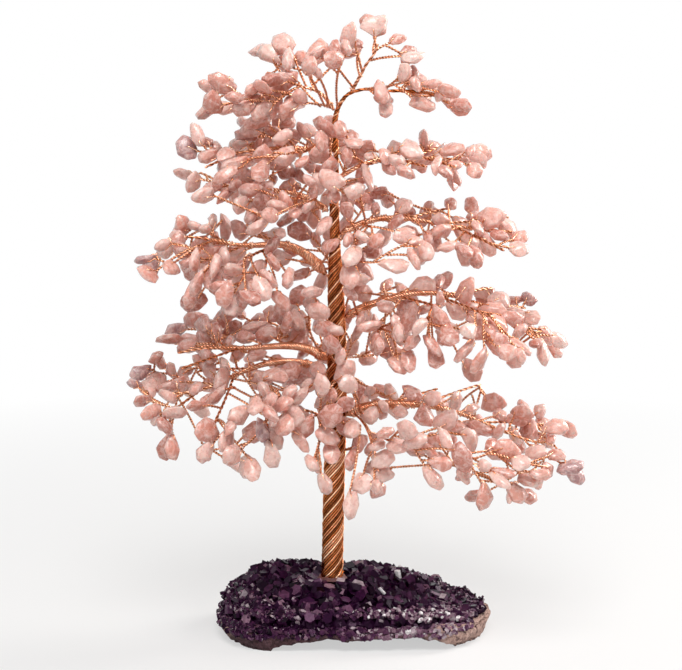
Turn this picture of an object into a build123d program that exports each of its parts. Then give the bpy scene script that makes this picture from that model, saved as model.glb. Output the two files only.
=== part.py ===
from build123d import *
import math
import os
import random

import numpy as np

# Gemstone tree ornament: a tree of twisted copper wire with rose quartz chips,
# standing in a slab of amethyst on its natural rock.
# Millimetres. X to the right and Y away from the viewer, as in the photograph, and Z up.
# The origin is under the trunk's foot, in the plane that the rock rests on.

os.makedirs("parts", exist_ok=True)

# Driving sizes of the slab
base_length = 106.0
base_depth = 62.0
base_centre_right = 8.3
base_centre_back = 2.4
rock_height = 6.8
arch_height = 4.9
arch_depth = 21.0
cut_overrun = 2.0
band_height = 1.7
band_inset = 0.6
druse_height = 28.0
hollow_height = 20.5
hollow_slope = 5.0
druse_inset = 0.9
crystal_size = 5.4
crystal_rise = 3.4
crystal_jitter = 0.55
crystal_lean_share = 0.22
crystal_rise_shares = (0.75, 1.25)
crystal_margin_share = 0.75

# Driving sizes of the trunk and its foot
tree_rise = 212.0
trunk_foot_radius = 4.9
trunk_step = 7.0
collar_radius = 7.0
collar_height = 2.6
collar_lip = 0.7
collar_clearance = 0.1
collar_foot_way = (-1, 0.6)
collar_top_way = (0, 1)

# Driving sizes of the wires
twig_radius = 0.42
branch_tip_radius = 0.5
side_branch_radius = 0.62
side_branch_pitch = 12.0
side_branch_shortest = 7.0
stem_step = 4.5
wire_seat = 0.06
wire_gap = 0.12
twig_shortest = 1.6
twig_longest = 34.0

# Driving sizes of the stones
chip_length = 9.9
chip_width = 7.0
chip_thickness = 4.6
stone_gap = 0.25
depth_step = 2.6

# How the depth of a bough grows from the trunk outwards, and the least that it has there
canopy_depth = 40.0
canopy_depth_at_trunk = 13.0
canopy_spread_share = 0.75
# How much a bough's fan narrows towards its tip, and how far along the stem side branches leave
fan_tip_share = 0.72
side_branches_end_share = 0.84

# The photograph's frame and lens, in its own pixels, and the camera's tilt
view_centre_across = 341
view_centre_down = 335
view_focal = 1867
view_pitch = math.radians(9.2)
trunk_foot_pixel = (332, 578)
tree_top_pixel = (371, 25)

# The slab's plan, as shares of half its length and half its depth
base_outline_shares = [
    (1.0, -0.08), (0.93, -0.52), (0.80, -0.84), (0.42, -0.97), (0.0, -1.0), (-0.42, -1.0),
    (-0.76, -0.93), (-0.94, -0.55), (-1.0, -0.05), (-0.92, 0.42), (-0.70, 0.80), (-0.28, 0.97),
    (0.16, 1.0), (0.55, 0.86), (0.84, 0.52),
]
# The rock's side: a share of its height, and how wide its plan is there
rock_profile_shares = [(0.0, 0.90), (0.45, 0.975), (1.0, 1.0)]
# The arch under the rock: shares of half its length and of the arch's height
arch_shares = [
    (-0.64, 0.0), (-0.50, 0.42), (-0.22, 0.80), (0.20, 1.0), (0.50, 0.92), (0.66, 0.5), (0.72, 0.0),
]
# The druse's crest, as the photograph shows it against the dark: shares of half the
# slab's length and of the druse's height
crest_shares = [
    (-1.0, 0.36), (-0.86, 0.68), (-0.72, 0.90), (-0.57, 1.0), (-0.38, 0.97), (-0.22, 0.90),
    (0.02, 0.93), (0.24, 0.87), (0.34, 0.85), (0.44, 0.75), (0.54, 0.69), (0.64, 0.58),
    (0.76, 0.51), (0.88, 0.45), (0.96, 0.40), (1.0, 0.36),
]
druse_rim_share = 0.33
crest_back_share = 0.30
druse_swell_share = 0.80
druse_back_rim_share = 0.20
slab_end_share = 0.05

# The trunk: pixels from its foot to the tip of the leader, with its girth as a share of the foot's
trunk_pixels_and_girth_shares = [
    (332, 578, 1.0), (333, 530, 0.99), (334, 480, 0.99), (336, 420, 0.96), (337, 370, 0.92),
    (336, 300, 0.85), (335, 262, 0.78), (335, 240, 0.62), (334, 190, 0.50), (335, 150, 0.36),
    (335, 122, 0.29), (338, 108, 0.22), (345, 97, 0.19), (357, 90, 0.17), (372, 90, 0.16),
    (395, 91, 0.145), (420, 92, 0.13), (438, 96, 0.115),
]

# Tumbled stones: length, width and thickness as shares of the usual chip's, then the
# girdle's seven corners as shares of half the length and half the width, from the drilled end
chip_kind_shares = {
    "oval": ((1.0, 1.0, 1.0), (
        (-0.94, -0.38), (-0.42, -0.96), (0.36, -0.98), (0.95, -0.34),
        (0.86, 0.52), (0.05, 1.0), (-0.85, 0.55)
    )),
    "drop": ((1.06, 0.98, 0.92), (
        (-0.98, -0.20), (-0.30, -0.72), (0.45, -1.0), (0.98, -0.38),
        (0.90, 0.50), (0.28, 0.98), (-0.62, 0.56)
    )),
    "wedge": ((0.96, 1.06, 0.96), (
        (-0.90, -0.66), (-0.12, -1.0), (0.66, -0.70), (1.0, -0.08),
        (0.62, 0.62), (-0.10, 1.0), (-0.92, 0.50)
    )),
    "block": ((0.86, 1.0, 1.10), (
        (-0.92, -0.62), (-0.30, -1.0), (0.62, -0.92), (1.0, -0.18),
        (0.78, 0.78), (-0.12, 1.0), (-0.94, 0.44)
    )),
    "small": ((0.72, 0.80, 0.84), (
        (-0.94, -0.46), (-0.30, -1.0), (0.50, -0.90), (1.0, -0.16),
        (0.70, 0.74), (-0.10, 1.0), (-0.90, 0.46)
    )),
    "long": ((1.24, 0.86, 0.90), (
        (-0.98, -0.28), (-0.40, -0.86), (0.40, -0.98), (0.98, -0.30),
        (0.88, 0.46), (0.10, 0.98), (-0.78, 0.66)
    )),
    "thin": ((1.12, 0.62, 0.72), (
        (-0.98, -0.34), (-0.36, -0.92), (0.44, -1.0), (0.98, -0.30),
        (0.86, 0.50), (0.06, 1.0), (-0.84, 0.56)
    )),
    "big": ((1.26, 1.34, 1.10), (
        (-0.92, -0.50), (-0.38, -1.0), (0.44, -0.94), (0.98, -0.30),
        (0.80, 0.62), (0.02, 1.0), (-0.86, 0.58)
    )),
    "round": ((0.90, 1.24, 0.92), (
        (-0.90, -0.43), (-0.22, -0.97), (0.62, -0.78), (1.0, 0.0),
        (0.62, 0.78), (-0.22, 0.97), (-0.90, 0.43)
    )),
}
usual_chip_kinds = ["oval", "drop", "wedge", "block", "small", "long", "oval", "drop"]
chip_grade_shares = [0.88, 0.97, 1.06]
# The faces above and below the girdle: their size, then their shift along and across
chip_crown_shares = (0.60, 0.06, -0.05)
chip_belly_shares = (0.54, -0.05, 0.06)
drilled_hole_share = 0.56

# How far a stone leans from its twig, how squarely it shows its flat side, and which kinds hang
stone_lean = 0.62
stone_roll = 0.75
hanging_kinds = ("drop", "thin")
hang_share = 0.5
met_squarely_cosine = 0.25

# How twigs leave wires, and what makes a place on a wire a poor one to leave from
branching_angle = math.radians(48)
least_branching_sine = 0.42
widest_branching_cosine = 0.05
easy_branching_cosine = 0.55
turning_back_cost_share = 1.2
wire_end_share = 0.06
thick_wire_share = 0.5
thick_wire_cost_share = 0.6

# How side branches leave a stem, bend and droop, and what is tried where there is no room
side_branch_angle = math.radians(52)
side_branch_lift_share = 0.13
side_branch_lift_jitter = 0.08
side_branch_climb_share = 0.5
side_branch_bend_share = 0.10
side_branch_droop_share = 0.04
first_side_branch_share = 0.6
side_branch_step_shares = (0.42, 0.62)
side_branch_reach_shares = (0.62, 0.84)
side_branch_try_shares = (1.0, 0.85, 0.7, 0.55, 0.4)
side_branch_try_turns = (0.0, -0.22, 0.22, 0.4)
halfway_share = 0.5

# How deep a stone stands for each pixel above or below its stem, and what is tried next
depth_per_pixel_share = 0.0235
depth_jitter_share = 0.3
behind_depth_shares = (0.45, 1.0)
anchor_tries = 7
stance_tries = 3
depth_tries = [0, -1, 1, -2, 2, -3, 3, -4, -5, 4, -6, 5, -7, 6]
route_fineness = 12
most_wires = 4000
most_stones = 1200
nearly_nothing = 1e-9

# The boughs, from the top down. route: pixels of the stem from its root. lean: the depth
# of its tip as a share of the canopy's. girth: its root as a share of the trunk's foot.
# spread: how far it fans out before and behind itself, as a share of the canopy's depth.
# stones: pixels of the stones that show, some with a kind of their own.
boughs = {
    "crown_right": dict(
        route=[(349, 93), (357, 82), (362, 72), (368, 62), (375, 53), (378, 44)],
        lean=-0.1, girth=0.16, spread=0.35,
        stones=[
            (372, 26, "big"), (398, 39, "small"), (412, 57, "block"), (404, 73), (416, 79),
            (349, 37, "round"), (346, 48), (333, 60, "small"), (382, 92, "drop"), (386, 108, "small"),
            (433, 84), (450, 91), (423, 104), (460, 107, "round"), (415, 83), (410, 74),
            (442, 92, "small"), (356, 44, "small"),
        ]),
    "crown_left": dict(
        route=[(335, 112), (327, 100), (318, 91), (305, 88), (292, 82), (280, 72)],
        lean=0.1, girth=0.18, spread=0.5,
        stones=[
            (262, 51, "block"), (283, 45, "big"), (285, 63), (303, 60), (318, 55, "small"),
            (316, 72, "small"), (334, 60, "drop"), (262, 86), (275, 80), (286, 80), (251, 91, "small"),
            (210, 88, "block"), (222, 84), (234, 97, "small"), (213, 104, "block"), (225, 108),
            (254, 100), (275, 105), (290, 108), (270, 92, "drop"), (244, 107), (262, 112, "oval"),
            (300, 98, "small"), (309, 66, "small"),
        ]),
    "upper_right": dict(
        route=[(335, 180), (352, 170), (375, 160), (400, 158), (432, 158), (458, 160)],
        lean=-0.1, girth=0.2, spread=0.75,
        stones=[
            (352, 143), (368, 177, "thin"), (347, 156), (385, 156), (397, 161), (405, 172, "big"),
            (395, 150), (412, 150), (430, 148), (437, 165), (420, 163), (451, 150), (455, 165),
            (470, 151), (476, 160), (474, 170, "small"), (373, 158, "small"), (440, 155), (425, 157),
            (462, 158, "small"), (446, 172, "small"), (389, 168), (340, 130, "small"),
        ]),
    "upper_left": dict(
        route=[(334, 160), (318, 152), (300, 148), (280, 148), (255, 150), (228, 154), (205, 152)],
        lean=0.05, girth=0.2, spread=0.75,
        stones=[
            (245, 124), (264, 114), (256, 131), (271, 131), (241, 145), (256, 145), (284, 157),
            (187, 148, "round"), (205, 142, "small"), (207, 157, "block"), (226, 155), (249, 160),
            (236, 165), (225, 175), (262, 156), (272, 146), (290, 140), (297, 152, "small"), (246, 136),
            (302, 162, "small"), (283, 122), (216, 148, "small"), (326, 128, "big"), (322, 142),
            (320, 156), (330, 166), (308, 130, "small"), (262, 170),
        ]),
    "shoulder_right": dict(
        route=[(335, 240), (355, 226), (378, 219), (410, 219), (450, 226), (492, 230), (512, 232)],
        lean=-0.15, girth=0.28, spread=0.95,
        stones=[
            (354, 192), (364, 202, "big"), (388, 200), (403, 206), (428, 208), (450, 204), (472, 208),
            (493, 217), (506, 226), (520, 238), (519, 249, "small"), (348, 240, "small"), (362, 236),
            (353, 256), (350, 275, "drop"), (361, 279, "small"), (376, 240), (393, 265, "drop"),
            (414, 259, "long"), (405, 235), (415, 241), (432, 240), (425, 250), (450, 246), (465, 250),
            (476, 257), (488, 245), (500, 236), (440, 220), (460, 222), (478, 228), (420, 222),
            (466, 236), (484, 216, "small"), (440, 232), (376, 209, "small"), (396, 222, "small"),
            (330, 180), (333, 196, "small"), (347, 212),
        ]),
    "shoulder_left": dict(
        route=[(334, 220), (320, 205), (303, 196), (282, 191), (258, 188), (228, 186), (206, 184)],
        lean=0.1, girth=0.26, spread=0.85,
        stones=[
            (193, 183), (202, 196, "wedge"), (222, 180), (245, 176), (226, 195), (251, 190), (263, 190),
            (241, 205), (251, 216), (259, 226), (285, 200), (277, 207), (295, 213), (310, 181),
            (314, 192, "small"), (318, 184), (235, 186), (272, 181), (288, 184), (300, 200, "small"),
            (262, 203), (270, 216, "small"), (286, 170), (324, 225), (308, 206, "small"),
            (212, 188, "small"),
        ]),
    "middle_left": dict(
        route=[
            (335, 288), (320, 268), (302, 252), (284, 245),
            (262, 245), (238, 245), (212, 240), (188, 237),
        ],
        lean=-0.12, girth=0.46, spread=1.0,
        stones=[
            (182, 225), (195, 226), (178, 240), (181, 250, "small"), (205, 229), (225, 226), (238, 229),
            (215, 240), (200, 246), (163, 245, "small"), (166, 251, "small"), (147, 259, "drop"),
            (147, 273, "round"), (171, 268), (195, 259), (205, 263), (215, 266), (197, 283, "drop"),
            (191, 294, "drop"), (212, 281), (222, 286), (226, 293, "drop"), (272, 246), (275, 263),
            (245, 263), (243, 281), (255, 286), (262, 288), (250, 296, "drop"), (288, 279),
            (231, 304, "drop"), (282, 301), (236, 253), (224, 256), (188, 262, "small"), (258, 268),
            (232, 270), (268, 278), (210, 254), (330, 245), (276, 234), (206, 272, "small"),
        ]),
    "middle_right": dict(
        route=[
            (336, 330), (347, 316), (362, 308), (388, 299),
            (428, 293), (470, 301), (515, 323), (538, 334),
        ],
        lean=-0.15, girth=0.34, spread=1.0,
        stones=[
            (361, 293), (386, 285, "long"), (403, 291), (423, 286), (438, 284), (466, 290, "big"),
            (485, 293), (500, 300), (512, 301), (530, 299, "small"), (531, 318), (547, 335, "drop"),
            (559, 341, "small"), (378, 345), (398, 333), (420, 326), (433, 345), (435, 355, "drop"),
            (448, 334), (465, 351, "long"), (480, 361, "drop"), (500, 345), (506, 352, "small"),
            (520, 346), (521, 356, "small"), (543, 352, "drop"), (361, 320), (370, 326), (376, 340),
            (395, 321), (410, 318), (455, 311), (480, 320), (495, 311), (511, 318), (350, 293, "small"),
            (408, 359), (398, 366, "small"), (442, 322, "big"), (425, 309), (470, 330), (490, 333),
            (408, 304), (440, 300), (470, 308, "small"), (520, 331), (498, 324), (384, 306),
            (536, 343, "small"), (412, 342, "small"),
        ]),
    "limb_left": dict(
        route=[
            (337, 372), (322, 356), (305, 348), (280, 346),
            (250, 348), (218, 348), (192, 350), (178, 353),
        ],
        lean=0.18, girth=0.4, spread=0.95,
        stones=[
            (176, 331), (196, 320), (206, 325), (216, 331), (232, 331), (251, 326), (263, 320),
            (299, 296), (289, 311), (275, 313), (318, 311, "big"), (327, 329), (280, 331), (266, 335),
            (191, 341), (186, 346, "small"), (240, 314), (223, 318), (204, 338), (246, 338), (302, 318),
            (309, 303, "small"), (299, 336), (331, 345, "oval"), (335, 330, "small"), (340, 356, "small"),
            (218, 341, "small"), (228, 345), (288, 322, "small"), (312, 292),
        ]),
    "lower_left": dict(
        route=[
            (337, 385), (318, 368), (295, 362), (265, 364),
            (238, 374), (212, 386), (185, 393), (160, 392),
        ],
        lean=-0.22, girth=0.36, spread=1.0,
        stones=[
            (145, 373), (134, 384, "small"), (157, 382), (142, 401, "small"), (152, 412),
            (173, 413, "round"), (165, 426, "small"), (171, 370), (182, 380), (186, 371, "small"),
            (200, 362), (210, 370), (212, 385), (217, 395), (168, 387), (168, 397, "small"),
            (197, 406, "thin"), (207, 400, "thin"), (172, 446, "drop"), (206, 431, "big"), (206, 451),
            (226, 441), (231, 456, "big"), (240, 414), (225, 366), (238, 355), (255, 356), (250, 371),
            (262, 376), (275, 376), (265, 391), (270, 400), (268, 412), (273, 419, "small"), (256, 405),
            (292, 371), (290, 391), (300, 396), (293, 415), (284, 425), (275, 436, "drop"),
            (271, 454, "drop"), (252, 468, "drop"), (301, 441, "thin"), (160, 362, "small"), (222, 380),
            (276, 362), (196, 388, "small"), (262, 430, "drop"), (230, 428, "small"), (282, 404),
        ]),
    "lower_right": dict(
        route=[
            (337, 425), (352, 412), (375, 405), (405, 404),
            (440, 408), (472, 418), (505, 432), (535, 442),
        ],
        lean=-0.25, girth=0.4, spread=1.0,
        stones=[
            (349, 385), (372, 393), (391, 393), (412, 393), (432, 398), (455, 401), (491, 401),
            (500, 415), (525, 409), (516, 420), (545, 425), (567, 429, "round"), (550, 440), (536, 452),
            (571, 467, "block"), (548, 470), (530, 479), (540, 474, "small"), (515, 491),
            (525, 495, "drop"), (484, 495, "drop"), (484, 466, "small"), (463, 476, "small"),
            (462, 457, "big"), (440, 463), (432, 477, "drop"), (428, 450), (408, 430, "big"), (385, 433),
            (383, 459), (382, 474), (362, 483, "round"), (376, 487, "small"), (351, 505), (400, 412),
            (424, 414), (446, 420), (470, 410), (480, 428), (498, 432), (515, 436), (530, 430),
            (508, 450), (520, 462, "small"), (446, 440), (470, 438), (492, 446), (370, 415),
            (384, 406, "small"), (398, 446), (416, 440), (502, 472), (376, 446, "small"),
            (500, 480, "thin"), (456, 428), (540, 411, "small"), (364, 404, "small"), (556, 455, "small"),
        ]),
    "skirt": dict(
        route=[(336, 440), (328, 424), (316, 414), (304, 410)],
        lean=-0.35, girth=0.2, spread=0.55,
        stones=[
            (322, 386), (331, 395), (321, 401), (331, 415, "big"), (328, 436), (331, 451),
            (312, 464, "wedge"), (324, 483, "drop"), (352, 428), (345, 404, "small"), (358, 444, "small"),
            (352, 458, "drop"), (318, 370), (345, 372), (310, 385, "small"), (306, 425, "drop"),
        ]),
    "back_top": dict(
        route=[(335, 205), (337, 190), (341, 178), (346, 168)],
        lean=0.8, girth=0.2, spread=0.5, behind=True,
        stones=[
            (318, 150), (330, 142), (345, 150), (356, 160), (322, 175), (338, 182), (352, 185),
            (310, 165), (326, 200), (345, 200), (362, 176), (300, 176), (372, 192), (314, 215),
        ]),
    "back_middle": dict(
        route=[(336, 300), (334, 280), (330, 264), (326, 252)],
        lean=0.95, girth=0.26, spread=0.6, behind=True,
        stones=[
            (300, 232), (315, 240), (330, 232), (345, 228), (360, 238), (292, 250), (310, 262),
            (340, 262), (358, 262), (372, 252), (300, 275), (322, 280), (342, 285), (365, 270),
            (384, 236), (280, 258),
        ]),
    "back_low": dict(
        route=[(337, 395), (340, 375), (346, 358), (352, 346)],
        lean=0.95, girth=0.26, spread=0.6, behind=True,
        stones=[
            (300, 330), (318, 325), (345, 318), (358, 330), (372, 322), (388, 335), (305, 350),
            (325, 355), (350, 348), (368, 358), (392, 352), (310, 375), (332, 378), (360, 385),
            (385, 392), (405, 402), (290, 385),
        ]),
}
far_stone_every = 2
far_stone_jitter = 9
far_depth_shares = (0.40, 1.0)


# The photograph's view

def sight(across, down):
    """The line of sight through a pixel, as a step that goes one unit away from the viewer."""
    right = (across - view_centre_across) / view_focal
    rise = (view_centre_down - down) / view_focal
    away = math.cos(view_pitch) + rise * math.sin(view_pitch)
    up = rise * math.cos(view_pitch) - math.sin(view_pitch)
    return np.array([right / away, 1.0, up / away])


foot_sight = sight(*trunk_foot_pixel)
eye_distance = tree_rise / (sight(*tree_top_pixel)[2] - foot_sight[2])
trunk_foot = np.array([0.0, 0.0, hollow_height])
eye = trunk_foot - foot_sight * eye_distance


def at_pixel(across, down, depth=0.0):
    """The point that shows at a pixel, at a depth behind the trunk's axis."""
    return eye + sight(across, down) * (eye_distance + depth)


def unit(vector):
    return vector / np.linalg.norm(vector)


def canopy_reach(right):
    """How far the canopy could go before and behind the trunk's axis, at a place along X."""
    return min(canopy_depth, canopy_spread_share * abs(right) + canopy_depth_at_trunk)


# Solids made from flat faces

def polyhedron(polygons):
    """A closed solid from the corners of its flat faces."""
    faces = [Face(Wire.make_polygon([Vector(*corner) for corner in polygon])) for polygon in polygons]
    return Solid(Shell(faces))


# The slab: natural rock with an arched underside, a quartz band, and the amethyst druse

def plan_points(share, inset=0.0):
    """The slab's plan at a share of its full size, drawn in by an inset."""
    half_length = base_length / 2 * share - inset
    half_depth = base_depth / 2 * share - inset
    return [
        (base_centre_right + across * half_length, base_centre_back + back * half_depth)
        for across, back in base_outline_shares
    ]


def plan_sketch(level, share, inset=0.0):
    """The slab's plan as a face at a level."""
    with BuildSketch(Plane.XY.offset(level)) as plan:
        with BuildLine():
            Spline(*plan_points(share, inset), periodic=True)
        make_face()
    return plan.sketch


with BuildPart() as base_rock:
    loft([
        plan_sketch(rock_height * height_share, width_share)
        for height_share, width_share in rock_profile_shares
    ])
    arch_front = base_depth / 2 - base_centre_back
    with BuildSketch(Plane.XZ.offset(arch_front + cut_overrun)):
        with BuildLine():
            arch = [
                (base_centre_right + across * base_length / 2, rise * arch_height)
                for across, rise in arch_shares
            ]
            Spline(*arch)
            Line(arch[-1], arch[0])
        make_face()
    extrude(amount=-(arch_depth + cut_overrun), mode=Mode.SUBTRACT)

with BuildPart() as quartz_band:
    extrude(plan_sketch(rock_height, 1.0, band_inset), amount=band_height)

druse_floor = rock_height + band_height


def share_between(shares, at):
    """A value read from a table of shares by straight interpolation."""
    return float(np.interp(at, [share for share, _ in shares], [value for _, value in shares]))


def druse_top(right, back):
    """The height of the druse between its crystals."""
    along = (right - base_centre_right) / (base_length / 2)
    width = math.sqrt(max(slab_end_share, 1 - along * along))
    across = max(-1.0, min(1.0, (back - base_centre_back) / (base_depth / 2 * width)))
    crest = share_between(crest_shares, along) * druse_height - crystal_rise
    rim = druse_rim_share * druse_height
    if across < crest_back_share:
        rise = (across + 1) / (1 + crest_back_share)
    else:
        slope = (1 - across) / (1 - crest_back_share)
        rise = druse_back_rim_share + (1 - druse_back_rim_share) * slope
    top = rim + max(0.0, crest - rim) * max(0.0, rise) ** druse_swell_share
    away = math.hypot(right, back) - collar_radius - crystal_size / 2
    blend = max(0.0, min(1.0, away / hollow_slope))
    return hollow_height + (top - hollow_height) * blend


def druse_cells():
    """The middles of the crystals, in staggered rows, and how far their corners reach."""
    corner_reach = crystal_size / math.sqrt(3)
    row_pitch = crystal_size * math.sqrt(3) / 2
    rows = int(base_depth / row_pitch) + 1
    columns = int(base_length / crystal_size) + 1
    cells = []
    for row in range(-rows, rows + 1):
        for column in range(-columns, columns + 1):
            right = crystal_size * (column + (row % 2) / 2)
            back = row_pitch * row
            cells.append((right, back))
    return cells, corner_reach


def inside_plan(right, back, margin):
    """True where a place lies inside the slab's plan by a margin."""
    along = (right - base_centre_right) / (base_length / 2 - margin)
    across = (back - base_centre_back) / (base_depth / 2 - margin)
    turn = math.atan2(across, along)
    return math.hypot(along, across) < plan_radius_share(turn)


def plan_radius_share(turn):
    """How far the plan's outline lies from its middle in a direction, in shares of its halves."""
    turns = [math.atan2(back, across) for across, back in base_outline_shares]
    radii = [math.hypot(across, back) for across, back in base_outline_shares]
    order = sorted(range(len(turns)), key=lambda index: turns[index])
    return float(np.interp(turn, [turns[i] for i in order], [radii[i] for i in order], period=2 * math.pi))


def druse_polygons():
    """The flat faces of the druse: a pyramid for each crystal, walls at its rim and a flat floor."""
    chance = random.Random("amethyst druse")
    cells, corner_reach = druse_cells()
    keep = [cell for cell in cells if inside_plan(*cell, druse_inset + corner_reach * crystal_margin_share)]
    corners = {}

    def corner(right, back):
        key = (round(right / crystal_jitter), round(back / crystal_jitter))
        if key not in corners:
            moved_right = right + chance.uniform(-crystal_jitter, crystal_jitter)
            moved_back = back + chance.uniform(-crystal_jitter, crystal_jitter)
            corners[key] = [moved_right, moved_back, druse_top(moved_right, moved_back)]
        return key

    rings = []
    for right, back in keep:
        ring = [
            corner(
                right + corner_reach * math.sin(math.radians(60 * turn)),
                back + corner_reach * math.cos(math.radians(60 * turn)),
            )
            for turn in (0, -1, -2, -3, -4, -5)
        ]
        rings.append(ring)
    flat = [
        math.hypot(right, back) < collar_radius + corner_reach + crystal_jitter
        for right, back in keep
    ]
    for ring, is_flat in zip(rings, flat):
        if is_flat:
            for key in ring:
                corners[key][2] = hollow_height
    polygons = []
    edges = {}
    for (right, back), ring, is_flat in zip(keep, rings, flat):
        lift = 0.0 if is_flat else crystal_rise * chance.uniform(*crystal_rise_shares)
        level = sum(corners[key][2] for key in ring) / len(ring)
        slide = 0.0 if is_flat else corner_reach * crystal_lean_share
        apex = [
            right + chance.uniform(-slide, slide),
            back + chance.uniform(-slide, slide),
            level + lift,
        ]
        for start, end in zip(ring, ring[1:] + ring[:1]):
            polygons.append([corners[start], corners[end], apex])
            edges[(start, end)] = True
    border = {start: end for start, end in edges if (end, start) not in edges}
    rim = [next(iter(border))]
    while border[rim[-1]] != rim[0]:
        rim.append(border[rim[-1]])
    floor = {key: [corners[key][0], corners[key][1], druse_floor] for key in rim}
    polygons.append([floor[key] for key in reversed(rim)])
    for start, end in zip(rim, rim[1:] + rim[:1]):
        polygons.append([floor[start], floor[end], corners[end]])
        polygons.append([floor[start], corners[end], corners[start]])
    return polygons


with BuildPart() as amethyst_druse:
    add(polyhedron(druse_polygons()))

# The copper collar that the trunk's foot is glued into, on the floor of the hollow

with BuildPart() as foot_collar:
    with BuildSketch(Plane.XZ) as collar_profile:
        bore = trunk_foot_radius + collar_clearance
        with BuildLine():
            outer_foot = (collar_radius, hollow_height)
            outer_top = (bore + collar_lip, hollow_height + collar_height)
            inner_top = (bore, hollow_height + collar_height)
            inner_foot = (bore, hollow_height)
            Polyline(outer_top, inner_top, inner_foot, outer_foot)
            Spline(outer_foot, outer_top, tangents=[collar_foot_way, collar_top_way])
        make_face()
    revolve(axis=Axis.Z)


# Wires

def tapered_wire(points, radii, foot_way=None):
    """One wire bundle along a curve: a ruled loft through circles square to it."""
    with BuildPart() as bundle:
        for index, (point, radius) in enumerate(zip(points, radii)):
            before = points[max(0, index - 1)]
            after = points[min(len(points) - 1, index + 1)]
            way = after - before
            if index == 0 and foot_way is not None:
                way = foot_way
            with BuildSketch(Plane(origin=Vector(*point), z_dir=Vector(*way))):
                Circle(radius)
        loft(ruled=True)
    return bundle.part.solid()


def straight_wire(start, end, radius):
    """One twig: a twisted pair taken as a round wire, from its parent to its stone."""
    along = Vector(*(end - start))
    with BuildPart(Plane(origin=Vector(*start), z_dir=along)) as twig:
        Cylinder(radius, along.length, align=(Align.CENTER, Align.CENTER, Align.MIN))
    return twig.part.solid()


def smooth_route(points, step):
    """Points at even steps along a smooth curve through a few chosen ones."""
    curve = Spline(*[Vector(*point) for point in points], mode=Mode.PRIVATE)
    count = max(3, round(curve.length / step))
    return [np.array(tuple(curve @ (index / count))) for index in range(count + 1)]


# Room among the wires and stones

class Thicket:
    """Every wire and stone placed so far, asked whether a new one has room."""
    def __init__(self):
        girdle = len(chip_kind_shares["oval"][1])
        corners, faces = 3 * girdle, 2 * girdle + 2
        self.starts = np.zeros((most_wires, 3))
        self.ends = np.zeros((most_wires, 3))
        self.radii = np.zeros(most_wires)
        self.wires = 0
        self.centres = np.zeros((most_stones, 3))
        self.reaches = np.zeros(most_stones)
        self.corners = np.zeros((most_stones, corners, 3))
        self.normals = np.zeros((most_stones, faces, 3))
        self.offsets = np.zeros((most_stones, faces))
        self.stones = 0

    def add_wire(self, start, end, radius):
        index = self.wires
        self.starts[index], self.ends[index], self.radii[index] = start, end, radius
        self.wires += 1
        return index

    def add_stone(self, stone):
        index = self.stones
        self.centres[index], self.reaches[index] = stone.centre, stone.reach
        self.corners[index] = stone.corners
        self.normals[index] = stone.normals
        self.offsets[index] = stone.offsets
        self.stones += 1

    def wire_clears_wires(self, start, end, radius, parent):
        """True if a wire keeps its gap from every wire but the one that it leaves."""
        starts, ends = self.starts[:self.wires], self.ends[:self.wires]
        gaps = gaps_between_wires(start, end, starts, ends) - self.radii[:self.wires] - radius
        if parent is not None:
            gaps[parent] = wire_gap
        return bool(np.all(gaps >= wire_gap))

    def wire_clears_stones(self, start, end, radius):
        """True if a wire keeps its gap from every stone."""
        near = self.stones_near(start, end, radius + wire_gap)
        if not near.size:
            return True
        along = np.einsum("ec,kfc->kef", np.array([start, end]), self.normals[near]).min(axis=1)
        apart = (along - self.offsets[near]).max(axis=1) - radius
        nearest = nearest_on_wires(start[None], end[None], self.centres[near])
        side = self.centres[near] - nearest
        side /= np.maximum(np.linalg.norm(side, axis=1, keepdims=True), nearly_nothing)
        reach = np.einsum("kvc,kc->kv", self.corners[near] - nearest[:, None], side).min(axis=1) - radius
        return bool(np.all(np.maximum(apart, reach) >= wire_gap))

    def stones_near(self, start, end, margin):
        centres = self.centres[:self.stones]
        away = np.linalg.norm(centres - nearest_on_wires(start[None], end[None], centres), axis=1)
        return np.flatnonzero(away < self.reaches[:self.stones] + margin)

    def stone_clears_all(self, stone):
        """True if a stone keeps its gap from every stone and wire."""
        centres = self.centres[:self.stones]
        away = np.linalg.norm(centres - stone.centre, axis=1)
        near = np.flatnonzero(away < self.reaches[:self.stones] + stone.reach + stone_gap)
        if near.size:
            theirs = (self.corners[near] @ stone.normals.T).min(axis=1) - stone.offsets
            ours = np.einsum("vc,kfc->kvf", stone.corners, self.normals[near]).min(axis=1)
            ours -= self.offsets[near]
            if np.any(np.maximum(theirs.max(axis=1), ours.max(axis=1)) < stone_gap):
                return False
        starts, ends, radii = self.starts[:self.wires], self.ends[:self.wires], self.radii[:self.wires]
        nearest = nearest_on_wires(starts, ends, stone.centre[None])
        away = np.linalg.norm(nearest - stone.centre, axis=1)
        near = np.flatnonzero(away < stone.reach + radii + wire_gap)
        if not near.size:
            return True
        low = np.minimum(starts[near] @ stone.normals.T, ends[near] @ stone.normals.T)
        apart = (low - stone.offsets).max(axis=1) - radii[near]
        side = stone.centre - nearest[near]
        side /= np.maximum(np.linalg.norm(side, axis=1, keepdims=True), nearly_nothing)
        from_wires = stone.corners[None] - nearest[near][:, None]
        reach = np.einsum("kvc,kc->kv", from_wires, side).min(axis=1) - radii[near]
        return bool(np.all(np.maximum(apart, reach) >= wire_gap))


def nearest_on_wires(starts, ends, points):
    """The point of each straight wire that is nearest to each point, row by row."""
    along = ends - starts
    length = np.maximum(np.sum(along * along, axis=1), nearly_nothing)
    share = np.clip(np.sum((points - starts) * along, axis=1) / length, 0.0, 1.0)
    return starts + along * share[:, None]


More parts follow.
